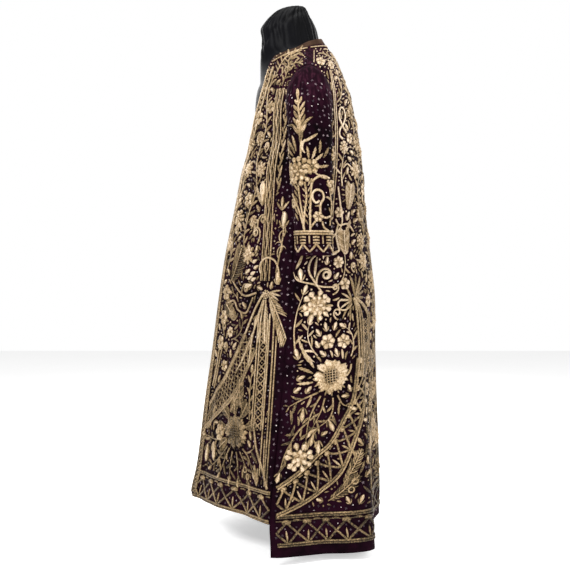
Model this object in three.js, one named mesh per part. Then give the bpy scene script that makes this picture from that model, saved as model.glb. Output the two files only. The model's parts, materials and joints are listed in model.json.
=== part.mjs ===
// A long side-slit kaftan on a limbless dress form with a stand, in millimetres.
// +Z is up, the kaftan's front faces -Y and its left side is +X.
// The origin is the middle of the underside of the stand's plate.
import * as THREE from "three";

// Cloth
const WALL = 2.2; // velvet, its backing and the metal thread together
const COLLAR_WALL = 2.6;
const SEAM = 0.3; // gap between two pieces that are sewn to each other
const COLLAR_SEAM = 0.5; // gap between the collar and the neckline
const SEAT = 0.7; // gap between the cloth and the shoulders that carry it

// Heights of the kaftan
const FRONT_HEM = 98;
const BACK_HEM = 20;
const BACK_HEM_RISE = 26; // at the centre back
const BACK_HEM_SHARE = 0.3; // share of the panel's width over which it rises
const SLIT_TOP = 440;
const ARMPIT = 1120;
const SHOULDER_TIP = 1266;
const NECK_FRONT = 1308;
const NECK_SIDE = 1347;
const NECK_BACK = 1366;
const COLLAR_HEIGHT = 15;

// Armhole, measured along the cloth from the side line
const ARMHOLE_FRONT = 52;
const ARMHOLE_BACK = 54;

// Side slit
const SLIT_LAP = 5; // how far the back panel's edge laps over the front panel's at the hem
const SLIT_TUCK = 10; // how far the front panel's edge lies behind it
const TUCK_REACH = 60; // width of the front panel that turns in with its edge

// The outer surface of the kaftan, as level sections from the hem to the neck.
// half is the half width, side the place of the side line, front and back the centre lines,
// and frontFull and backFull say how square each quarter is, from 0 (straight) to 1 (boxy).
const BODY = [
  { z: 0, half: 341, side: -72, front: -319, back: 190, frontFull: 0.12, backFull: 0.92 },
  { z: 48, half: 338, side: -74, front: -319, back: 190, frontFull: 0.12, backFull: 0.91 },
  { z: 100, half: 335, side: -79, front: -316, back: 190, frontFull: 0.12, backFull: 0.9 },
  { z: 184, half: 328, side: -76, front: -298, back: 190, frontFull: 0.14, backFull: 0.86 },
  { z: 363, half: 305, side: -62, front: -275, back: 190, frontFull: 0.18, backFull: 0.8 },
  { z: 505, half: 284, side: -50, front: -254, back: 192, frontFull: 0.22, backFull: 0.74 },
  { z: 646, half: 262, side: -39, front: -236, back: 197, frontFull: 0.26, backFull: 0.68 },
  { z: 771, half: 243, side: -28, front: -217, back: 188, frontFull: 0.3, backFull: 0.62 },
  { z: 910, half: 224, side: -15, front: -189, back: 174, frontFull: 0.32, backFull: 0.58 },
  { z: 1000, half: 214, side: -8, front: -172, back: 168, frontFull: 0.32, backFull: 0.56 },
  { z: 1072, half: 208, side: 0, front: -154, back: 160, frontFull: 0.3, backFull: 0.55 },
  { z: 1163, half: 203, side: 6, front: -146, back: 144, frontFull: 0.28, backFull: 0.52 },
  { z: 1213, half: 202, side: 10, front: -140, back: 133, frontFull: 0.26, backFull: 0.5 },
  { z: 1240, half: 200, side: 11, front: -135, back: 125, frontFull: 0.24, backFull: 0.48 },
  { z: 1266, half: 196, side: 12, front: -130, back: 116, frontFull: 0.23, backFull: 0.46 },
  { z: 1280, half: 178, side: 13, front: -130, back: 111, frontFull: 0.24, backFull: 0.46 },
  { z: 1300, half: 146, side: 14, front: -130, back: 103, frontFull: 0.25, backFull: 0.46 },
  { z: 1319, half: 115, side: 15, front: -128, back: 96, frontFull: 0.3, backFull: 0.47 },
  { z: 1335, half: 90, side: 16, front: -124, back: 87, frontFull: 0.34, backFull: 0.48 },
  { z: 1347, half: 74, side: 16, front: -122, back: 79, frontFull: 0.38, backFull: 0.5 },
  { z: 1366, half: 69, side: 17, front: -118, back: 65, frontFull: 0.4, backFull: 0.52 },
  { z: 1390, half: 67, side: 18, front: -116, back: 53, frontFull: 0.4, backFull: 0.52 },
];

// Half of the front opening, from the collar down to the hem
const OPENING = [
  { z: 0, half: 6 },
  { z: 800, half: 4 },
  { z: 1000, half: 5 },
  { z: 1072, half: 14 },
  { z: 1120, half: 34 },
  { z: 1163, half: 48 },
  { z: 1213, half: 62 },
  { z: 1266, half: 66 },
  { z: 1319, half: 62 },
  { z: 1390, half: 60 },
];

// The skirt's folds: at is the place from the centre front (-1) over the side line (0) to
// the centre back (1), depth the height at the hem, outwards, and top where it has died out.
const FOLDS = [
  { at: -0.84, width: 0.07, depth: -7, top: 620 },
  { at: -0.55, width: 0.1, depth: 6, top: 700 },
  { at: -0.3, width: 0.08, depth: -8, top: 560 },
  { at: 0, width: 0.09, depth: 20, top: 560 },
  { at: 0.25, width: 0.1, depth: -22, top: 680 },
  { at: 0.47, width: 0.07, depth: 20, top: 760 },
  { at: 0.68, width: 0.06, depth: -11, top: 640 },
  { at: 0.8, width: 0.04, depth: -6, top: 520 },
  { at: 1, width: 0.09, depth: 27, top: 900 },
];

// The left sleeve's outline: its inner and outer point and its front and back at each ring
const SLEEVE = [
  { inX: 207, inZ: 1112, outX: 230, outZ: 1250, front: -46, back: 70 },
  { inX: 208.4, inZ: 1103, outX: 255, outZ: 1213, front: -48, back: 72 },
  { inX: 209.6, inZ: 1092, outX: 272, outZ: 1163, front: -46, back: 72 },
  { inX: 211.5, inZ: 1076, outX: 281, outZ: 1106, front: -43, back: 72 },
  { inX: 215, inZ: 1040, outX: 287, outZ: 1046, front: -40, back: 72 },
  { inX: 223.5, inZ: 960, outX: 294, outZ: 960, front: -34, back: 72 },
  { inX: 235, inZ: 860, outX: 304, outZ: 860, front: -28, back: 71 },
  { inX: 250, inZ: 764, outX: 318, outZ: 762, front: -22, back: 70 },
];

// The dress form, in the same columns as the kaftan's sections
const FORM_HIPS = [
  { z: 800, half: 128, side: 4, front: -72, back: 92, frontFull: 0.5, backFull: 0.5 },
  { z: 806, half: 142, side: 4, front: -86, back: 106, frontFull: 0.5, backFull: 0.5 },
  { z: 826, half: 154, side: 3, front: -97, back: 118, frontFull: 0.5, backFull: 0.52 },
  { z: 900, half: 163, side: 0, front: -104, back: 124, frontFull: 0.5, backFull: 0.55 },
  { z: 965, half: 158, side: 0, front: -106, back: 118, frontFull: 0.5, backFull: 0.55 },
  { z: 1030, half: 148, side: 2, front: -108, back: 106, frontFull: 0.46, backFull: 0.52 },
  { z: 1100, half: 156, side: 4, front: -126, back: 106, frontFull: 0.38, backFull: 0.5 },
  { z: 1171, half: 174, side: 6, front: -135, back: 112, frontFull: 0.24, backFull: 0.46 },
  { z: 1209, half: 185, side: 9, front: -133, back: 112, frontFull: 0.2, backFull: 0.44 },
  { z: 1240, half: 192, side: 11, front: -128, back: 107, frontFull: 0.19, backFull: 0.42 },
];
const SHOULDER_START = 1280; // the shoulders slope straight from here to the neck
const SHOULDER_END = 1330; // above it the form narrows to its neck
const FORM_SHOULDER = { front: -120, frontFull: 0.18, backInset: 8, backFull: 0.42 };
const FORM_NECK = [
  { z: 1338, half: 69, side: -6, front: -119, back: 62, frontFull: 0.34, backFull: 0.46 },
  { z: 1352, half: 59, side: -26, front: -119, back: 54, frontFull: 0.48, backFull: 0.5 },
  { z: 1384, half: 57, side: -33, front: -116, back: 46, frontFull: 0.52, backFull: 0.52 },
  { z: 1410, half: 56, side: -38, front: -120, back: 40, frontFull: 0.52, backFull: 0.52 },
  { z: 1433, half: 51, side: -38, front: -107, back: 30, frontFull: 0.52, backFull: 0.52 },
  { z: 1452, half: 43, side: -34, front: -90, back: 21, frontFull: 0.52, backFull: 0.52 },
  { z: 1464, half: 36, side: -30, front: -75, back: 15, frontFull: 0.52, backFull: 0.52 },
  { z: 1473, half: 26, side: -23, front: -54, back: 9, frontFull: 0.52, backFull: 0.52 },
  { z: 1477.5, half: 14, side: -14, front: -32, back: 3, frontFull: 0.52, backFull: 0.52 },
];

// Stand
const PLATE = { width: 360, depth: 160, thick: 10, corner: 30, bevel: 2 };
const POLE = {
  radius: 13,
  footRadius: 42,
  footHeight: 8,
  socketRadius: 18, // the foot's socket, which tapers up to a collar
  socketHeight: 12,
  collarRadius: 15,
  collarHeight: 40,
  topRadius: 36, // the flange under the form
  topHeight: 7,
  fillet: 3,
};

// How finely each piece is divided
const SKIRT_ROWS = 10;
const ARMHOLE_STEPS = 10;
const YOKE_ROWS = 4;
const FRONT_COLUMNS = 10;
const BACK_COLUMNS = 16; // from a side line to the centre back
const COLLAR_ROWS = 2;
const FORM_COLUMNS = 8; // in each quarter
const FORM_STEP = 45; // the tallest band of the form that isn't halved
const POLE_SIDES = 24;
const CORNER_STEPS = 6;
const CURVE_STEPS = 40;
const PROBE = 0.5; // step used to find a surface's slope

const velvet = new THREE.MeshStandardMaterial({ color: 0x2c1428, roughness: 0.85, metalness: 0 });
const collarVelvet = new THREE.MeshStandardMaterial({ color: 0x4a2e20, roughness: 0.8, metalness: 0 });
const blackCloth = new THREE.MeshStandardMaterial({ color: 0x17171b, roughness: 0.6, metalness: 0 });
const blackSteel = new THREE.MeshStandardMaterial({ color: 0x1c1c1d, roughness: 0.45, metalness: 0.8 });

const mix = (a, b, t) => a + (b - a) * t;
const clamp01 = (t) => Math.min(1, Math.max(0, t));
const ease = (t) => clamp01(t) ** 2 * (3 - 2 * clamp01(t));

// Slope of a table's column at row i, level where the values turn
function slopeAt(rows, key, i) {
  if (i === 0 || i === rows.length - 1) return 0;
  const before = (rows[i][key] - rows[i - 1][key]) / (rows[i].z - rows[i - 1].z);
  const after = (rows[i + 1][key] - rows[i][key]) / (rows[i + 1].z - rows[i].z);
  return before * after <= 0 ? 0 : (2 * before * after) / (before + after);
}

// A table's column at height z, along a smooth curve that never passes its rows' values
function read(rows, key, z) {
  const last = rows.length - 1;
  if (z <= rows[0].z) return rows[0][key];
  if (z >= rows[last].z) return rows[last][key];
  const i = rows.findIndex((row) => row.z > z) - 1;
  const span = rows[i + 1].z - rows[i].z;
  const t = (z - rows[i].z) / span;
  const a = rows[i][key];
  const b = rows[i + 1][key];
  const slopeA = slopeAt(rows, key, i) * span;
  const slopeB = slopeAt(rows, key, i + 1) * span;
  return a * (1 + 2 * t) * (1 - t) ** 2 + slopeA * t * (1 - t) ** 2
    + b * t * t * (3 - 2 * t) + slopeB * t * t * (t - 1);
}

// A quarter of a section, from the side line to a centre line, with its length so far
const quarters = new Map();
function quarter(rows, z, end) {
  const key = rows[0].z + end + z;
  if (quarters.has(key)) return quarters.get(key);
  const half = read(rows, "half", z);
  const side = read(rows, "side", z);
  const depth = read(rows, end, z) - side;
  const full = read(rows, end + "Full", z);
  const points = [];
  let length = 0;
  for (let i = 0; i <= CURVE_STEPS; i++) {
    const t = i / CURVE_STEPS;
    const u = 1 - t;
    const x = half * (u ** 3 + 3 * u * u * t + 3 * u * t * t * full);
    const y = side + depth * (3 * u * u * t * full + 3 * u * t * t + t ** 3);
    if (i) length += Math.hypot(x - points[i - 1].x, y - points[i - 1].y);
    points.push({ x, y, length });
  }
  const made = { points, length };
  quarters.set(key, made);
  return made;
}

// The point of a section that lies arc along the cloth from the left side line,
// forwards where arc is negative. Past a centre line it goes on round the right side.
function sectionPoint(rows, z, arc) {
  const { points, length } = quarter(rows, z, arc < 0 ? "front" : "back");
  const past = Math.abs(arc) > length;
  const along = past ? 2 * length - Math.abs(arc) : Math.abs(arc);
  const next = Math.max(1, points.findIndex((p) => p.length >= along));
  const a = points[next - 1];
  const b = points[next];
  const t = (along - a.length) / (b.length - a.length);
  const x = mix(a.x, b.x, t);
  return new THREE.Vector3(past ? -x : x, mix(a.y, b.y, t), z);
}

// The outward normal of a surface that surface(z, arc) gives
function normalAt(surface, z, arc) {
  const across = surface(z, arc + PROBE).sub(surface(z, arc - PROBE));
  const up = surface(z + PROBE, arc).sub(surface(z - PROBE, arc));
  return across.cross(up).normalize();
}

// How far the folds move the cloth outwards
function foldAt(z, arc) {
  const { length } = quarter(BODY, z, arc < 0 ? "front" : "back");
  const place = arc / length;
  const own = Math.abs(place) > 1 ? Math.sign(place) * 2 - place : place;
  let moved = 0;
  for (const { at, width, depth, top } of FOLDS)
    moved += depth * Math.exp(-(((own - at) / width) ** 2)) * ease((top - z) / (top - BACK_HEM));
  return moved;
}

// The kaftan's outer surface
function plainCloth(z, arc) {
  return sectionPoint(BODY, z, arc);
}
function cloth(z, arc) {
  return plainCloth(z, arc).addScaledVector(normalAt(plainCloth, z, arc), foldAt(z, arc));
}

// Where a section's front quarter meets the front opening's edge
function openingArc(z) {
  const half = read(OPENING, "half", z);
  const { points } = quarter(BODY, z, "front");
  const next = points.findIndex((p) => p.x <= half);
  const a = points[next - 1];
  const b = points[next];
  return -mix(a.length, b.length, (half - a.x) / (b.x - a.x));
}
const backArc = (z) => quarter(BODY, z, "back").length;

// How far a panel's edge lies from the side line: the armhole and the slit
const armholeMiddle = (ARMPIT + SHOULDER_TIP) / 2;
const armholeHalf = (SHOULDER_TIP - ARMPIT) / 2;
function armhole(z, reach) {
  return reach * Math.sqrt(Math.max(0, 1 - ((z - armholeMiddle) / armholeHalf) ** 2));
}
const slit = (z) => clamp01((SLIT_TOP - z) / (SLIT_TOP - BACK_HEM));
const frontSide = (z) => -(armhole(z, ARMHOLE_FRONT) + SEAM / 2);
const backSide = (z) => armhole(z, ARMHOLE_BACK) + SEAM / 2 - SLIT_LAP * clamp01(2 * slit(z) - 1);

// The neckline's height on the front panel, from its edge (0) to the shoulder seam (1),
// and on the back panel, from the shoulder seam (0) to the centre back (1)
const frontNeck = (u) => mix(NECK_FRONT, NECK_SIDE, 1 - (1 - u) ** 1.35);
const backNeck = (u) => mix(NECK_SIDE, NECK_BACK, Math.sin((u * Math.PI) / 2));

// The back hem's height at the same shares: it rises towards the centre back
const backHem = (u) => BACK_HEM + BACK_HEM_RISE * ease(1 + (u - 1) / BACK_HEM_SHARE);

// Heights of a panel's rows at the share u of its width
function rowHeights(hem, neck) {
  const heights = hem < FRONT_HEM ? [hem] : [];
  for (let i = 0; i < SKIRT_ROWS; i++) heights.push(mix(FRONT_HEM, ARMPIT, i / SKIRT_ROWS));
  for (let i = 0; i <= ARMHOLE_STEPS; i++)
    heights.push(armholeMiddle - armholeHalf * Math.cos((Math.PI * i) / ARMHOLE_STEPS));
  for (let i = 1; i <= YOKE_ROWS; i++) heights.push(mix(SHOULDER_TIP, neck, i / YOKE_ROWS));
  return heights;
}

// A mesh from points and faces, turned right side out
function meshOf(name, points, faces, material) {
  let volume = 0;
  for (const [a, b, c] of faces)
    volume += points[a].dot(new THREE.Vector3().crossVectors(points[b], points[c]));
  const turned = volume < 0 ? faces.map(([a, b, c]) => [a, c, b]) : faces;
  const geometry = new THREE.BufferGeometry().setFromPoints(points);
  geometry.setIndex(turned.flat());
  geometry.computeVertexNormals();
  const mesh = new THREE.Mesh(geometry, material);
  mesh.name = name;
  return mesh;
}

// A closed wall between two grids of points of the same size, one on each face
function wallOf(name, outer, inner, material) {
  const rows = outer.length;
  const columns = outer[0].length;
  const points = [...outer.flat(), ...inner.flat()];
  const faces = [];
  const quad = (a, b, c, d) => faces.push([a, b, c], [a, c, d]);
  const front = (r, c) => r * columns + c;
  const rear = (r, c) => (rows + r) * columns + c;
  for (let r = 0; r < rows - 1; r++)
    for (let c = 0; c < columns - 1; c++) {
      quad(front(r, c), front(r, c + 1), front(r + 1, c + 1), front(r + 1, c));
      quad(rear(r, c), rear(r + 1, c), rear(r + 1, c + 1), rear(r, c + 1));
    }
  for (let c = 0; c < columns - 1; c++) {
    quad(front(0, c), rear(0, c), rear(0, c + 1), front(0, c + 1));
    quad(front(rows - 1, c), front(rows - 1, c + 1), rear(rows - 1, c + 1), rear(rows - 1, c));
  }
  for (let r = 0; r < rows - 1; r++) {
    quad(front(r, 0), front(r + 1, 0), rear(r + 1, 0), rear(r, 0));
    quad(front(r, columns - 1), rear(r, columns - 1), rear(r + 1, columns - 1), front(r + 1, columns - 1));
  }
  return meshOf(name, points, faces, material);
}

const mirrored = (point) => new THREE.Vector3(-point.x, point.y, point.z);
const mirrorGrid = (grid) => grid.map((row) => row.map(mirrored));

// Both faces of a panel: place(r, c) gives each grid point's height and arc
function clothGrids(rows, columns, place, wall, tuck) {
  const outer = [];
  const inner = [];
  for (let r = 0; r < rows; r++) {
    outer.push([]);
    inner.push([]);
    for (let c = 0; c < columns; c++) {
      const { z, arc } = place(r, c);
      const normal = normalAt(cloth, z, arc);
      const point = cloth(z, arc).addScaledVector(normal, -tuck(z, arc));
      outer[r].push(point);
      inner[r].push(point.clone().addScaledVector(normal, -wall));
    }
  }
  return { outer, inner };
}

function frontPanels() {
  const rows = rowHeights(FRONT_HEM, NECK_SIDE).length;
  const place = (r, c) => {
    const u = c / FRONT_COLUMNS;
    const z = rowHeights(FRONT_HEM, frontNeck(u))[r];
    return { z, arc: mix(openingArc(z), frontSide(z), u) };
  };
  const tuck = (z, arc) => SLIT_TUCK * slit(z) * ease(1 + arc / TUCK_REACH);
  const { outer, inner } = clothGrids(rows, FRONT_COLUMNS + 1, place, WALL, tuck);
  return [
    wallOf("front_left", outer, inner, velvet),
    wallOf("front_right", mirrorGrid(outer), mirrorGrid(inner), velvet),
  ];
}

// The grid of the left half, carried on over the centre back by its mirror image
function carriedOver(half) {
  return half.map((row) => {
    const other = row.slice(0, -1).reverse().map(mirrored);
    return [...row, ...other];
  });
}

function centred(grid) {
  for (const row of grid) row[row.length - 1].x = 0;
  return grid;
}

function backPanel() {
  const rows = rowHeights(BACK_HEM, NECK_BACK).length;
  const place = (r, c) => {
    const u = c / BACK_COLUMNS;
    const z = rowHeights(backHem(u), backNeck(u))[r];
    return { z, arc: mix(backSide(z), backArc(z), u) };
  };
  const { outer, inner } = clothGrids(rows, BACK_COLUMNS + 1, place, WALL, () => 0);
  return wallOf("back", carriedOver(centred(outer)), carriedOver(centred(inner)), velvet);
}

// A tube's wall through rings of the same number of points, open at both ends
function tubeWall(name, outer, inner, material) {
  const rows = outer.length;
  const count = outer[0].length;
  const points = [...outer.flat(), ...inner.flat()];
  const faces = [];
  const quad = (a, b, c, d) => faces.push([a, b, c], [a, c, d]);
  const out = (r, c) => r * count + (c % count);
  const rear = (r, c) => (rows + r) * count + (c % count);
  for (let c = 0; c < count; c++) {
    for (let r = 0; r < rows - 1; r++) {
      quad(out(r, c), out(r, c + 1), out(r + 1, c + 1), out(r + 1, c));
      quad(rear(r, c), rear(r + 1, c), rear(r + 1, c + 1), rear(r, c + 1));
    }
    quad(out(0, c), rear(0, c), rear(0, c + 1), out(0, c + 1));
    quad(out(rows - 1, c), out(rows - 1, c + 1), rear(rows - 1, c + 1), rear(rows - 1, c));
  }
  return meshOf(name, points, faces, material);
}

const SLEEVE_POINTS = 2 * ARMHOLE_STEPS;

// The sleeve's first ring, which runs round the armhole just inside the panels' edges
function armholeRing() {
  const ring = [];
  for (let i = 0; i < SLEEVE_POINTS; i++) {
    const angle = (2 * Math.PI * i) / SLEEVE_POINTS;
    const z = armholeMiddle + (armholeHalf - SEAM) * Math.cos(angle);
    const reach = Math.sin(angle) < 0 ? ARMHOLE_FRONT : ARMHOLE_BACK;
    ring.push(cloth(z, (reach - SEAM) * Math.sin(angle)));
  }
  return ring;
}

// A lower ring: an oval between its inner and outer points and its front and back
function sleeveRing({ inX, inZ, outX, outZ, front, back }) {
  const ring = [];
  for (let i = 0; i < SLEEVE_POINTS; i++) {
    const angle = (2 * Math.PI * i) / SLEEVE_POINTS;
    const outwards = (1 + Math.cos(angle)) / 2;
    const y = mix(front, back, (1 + Math.sin(angle)) / 2);
    ring.push(new THREE.Vector3(mix(inX, outX, outwards), y, mix(inZ, outZ, outwards)));
  }
  return ring;
}

function middleOf(ring) {
  const sum = new THREE.Vector3();
  for (const point of ring) sum.add(point);
  return sum.divideScalar(ring.length);
}

function sleeves() {
  const rings = [armholeRing(), ...SLEEVE.map(sleeveRing)];
  const innerRings = rings.map((ring) => {
    const middle = middleOf(ring);
    return ring.map((point) => {
      const inwards = middle.clone().sub(point);
      return point.clone().addScaledVector(inwards.normalize(), WALL);
    });
  });
  return [
    tubeWall("sleeve_left", rings, innerRings, velvet),
    tubeWall("sleeve_right", mirrorGrid(rings), mirrorGrid(innerRings), velvet),
  ];
}

// The collar stands on the neckline, from one front edge round the back to the other
function collar() {
  const frontPlaces = Array.from({ length: FRONT_COLUMNS }, (_, c) => c / FRONT_COLUMNS);
  const backPlaces = Array.from({ length: FRONT_COLUMNS + 1 }, (_, c) => c / FRONT_COLUMNS);
  const place = (r, c) => {
    const onFront = c < FRONT_COLUMNS;
    const u = onFront ? frontPlaces[c] : backPlaces[c - FRONT_COLUMNS];
    const neck = onFront ? frontNeck(u) : backNeck(u);
    const z = neck + COLLAR_SEAM + (COLLAR_HEIGHT * r) / COLLAR_ROWS;
    const arc = onFront ? mix(openingArc(z), 0, u) : mix(0, backArc(z), u);
    return { z, arc };
  };
  const columns = frontPlaces.length + backPlaces.length;
  const { outer, inner } = clothGrids(COLLAR_ROWS + 1, columns, place, COLLAR_WALL, () => 0);
  return wallOf("collar", carriedOver(centred(outer)), carriedOver(centred(inner)), collarVelvet);
}

// The form's sections: hips and chest, then the kaftan's shoulders less the cloth, then the neck
function formSections() {
  const run = read(BODY, "half", SHOULDER_START) - read(BODY, "half", NECK_SIDE);
  const slope = Math.atan2(NECK_SIDE - SHOULDER_START, run);
  const drop = (WALL + SEAT) * Math.cos(slope);
  const inset = (WALL + SEAT) * Math.sin(slope);
  const shoulders = BODY.filter(({ z }) => z >= SHOULDER_TIP && z < SHOULDER_END).map((row) => ({
    z: row.z - drop,
    half: row.half - inset,
    side: row.side,
    front: FORM_SHOULDER.front,
    back: row.back - FORM_SHOULDER.backInset,
    frontFull: FORM_SHOULDER.frontFull,
    backFull: FORM_SHOULDER.backFull,
  }));
  return [...FORM_HIPS, ...shoulders, ...FORM_NECK];
}

function dressForm() {
  const sections = formSections();
  const heights = sections.flatMap(({ z }, i) => {
    const next = sections[i + 1];
    return next && next.z - z > FORM_STEP ? [z, (z + next.z) / 2] : [z];
  });
  const rings = heights.map((z) => {
    const ring = [];
    const front = quarter(sections, z, "front").length;
    const back = quarter(sections, z, "back").length;
    for (let i = 0; i < FORM_COLUMNS; i++)
      ring.push(sectionPoint(sections, z, mix(-front, 0, i / FORM_COLUMNS)));
    for (let i = 0; i <= FORM_COLUMNS; i++)
      ring.push(sectionPoint(sections, z, mix(0, back, i / FORM_COLUMNS)));
    const right = ring.slice(1, -1).reverse().map(mirrored);
    return [...ring, ...right];
  });
  const count = rings[0].length;
  const points = rings.flat();
  const faces = [];
  for (let r = 0; r < rings.length - 1; r++)
    for (let c = 0; c < count; c++) {
      const d = (c + 1) % count;
      faces.push([r * count + c, r * count + d, (r + 1) * count + d]);
      faces.push([r * count + c, (r + 1) * count + d, (r + 1) * count + c]);
    }
  const bottom = points.push(middleOf(rings[0])) - 1;
  const top = points.push(middleOf(rings[rings.length - 1])) - 1;
  const lastRow = (rings.length - 1) * count;
  for (let c = 0; c < count; c++) {
    const d = (c + 1) % count;
    faces.push([bottom, d, c]);
    faces.push([top, lastRow + c, lastRow + d]);
  }
  return meshOf("form", points, faces, blackCloth);
}

function standPole() {
  const low = PLATE.thick + SEAM;
  const high = FORM_HIPS[0].z - SEAM;
  const profile = [
    [0, low],
    [POLE.footRadius, low],
    [POLE.footRadius, low + POLE.footHeight],
    [POLE.socketRadius, low + POLE.socketHeight],
    [POLE.collarRadius, low + POLE.collarHeight],
    [POLE.radius, low + POLE.collarHeight + POLE.fillet],
    [POLE.radius, high - POLE.topHeight - POLE.fillet],
    [POLE.topRadius, high - POLE.topHeight],
    [POLE.topRadius, high],
    [0, high],
  ].map(([radius, z]) => new THREE.Vector2(radius, z));
  const pole = new THREE.Mesh(new THREE.LatheGeometry(profile, POLE_SIDES), blackSteel);
  pole.name = "stand_pole";
  pole.rotation.x = Math.PI / 2;
  return pole;
}

function standPlate() {
  const w = PLATE.width / 2 - PLATE.bevel;
  const d = PLATE.depth / 2 - PLATE.bevel;
  const r = PLATE.corner;
  const outline = new THREE.Shape();
  outline.moveTo(w, -d + r);
  outline.absarc(w - r, d - r, r, 0, Math.PI / 2);
  outline.absarc(-w + r, d - r, r, Math.PI / 2, Math.PI);
  outline.absarc(-w + r, -d + r, r, Math.PI, 1.5 * Math.PI);
  outline.absarc(w - r, -d + r, r, 1.5 * Math.PI, 2 * Math.PI);
  const plate = new THREE.Mesh(
    new THREE.ExtrudeGeometry(outline, {
      depth: PLATE.thick - 2 * PLATE.bevel,
      bevelSize: PLATE.bevel,
      bevelThickness: PLATE.bevel,
      bevelSegments: 1,
      curveSegments: CORNER_STEPS,
    }),
    blackSteel,
  );
  plate.name = "stand_base";
  plate.position.z = PLATE.bevel;
  return plate;
}

const kaftan = new THREE.Group();
kaftan.add(...frontPanels(), backPanel(), ...sleeves(), collar());
const stand = new THREE.Group();
stand.add(dressForm(), standPole(), standPlate());
const part = new THREE.Group();
part.add(kaftan, stand);
export default part;
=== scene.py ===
"""Velvet kaftan with couched metal-thread flowers, worn by a black dress form.

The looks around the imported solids. Tables and patterns are in millimetres, as a cutter
would note them down; every mesh is written in metres.
"""

import json
import math
import random

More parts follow.
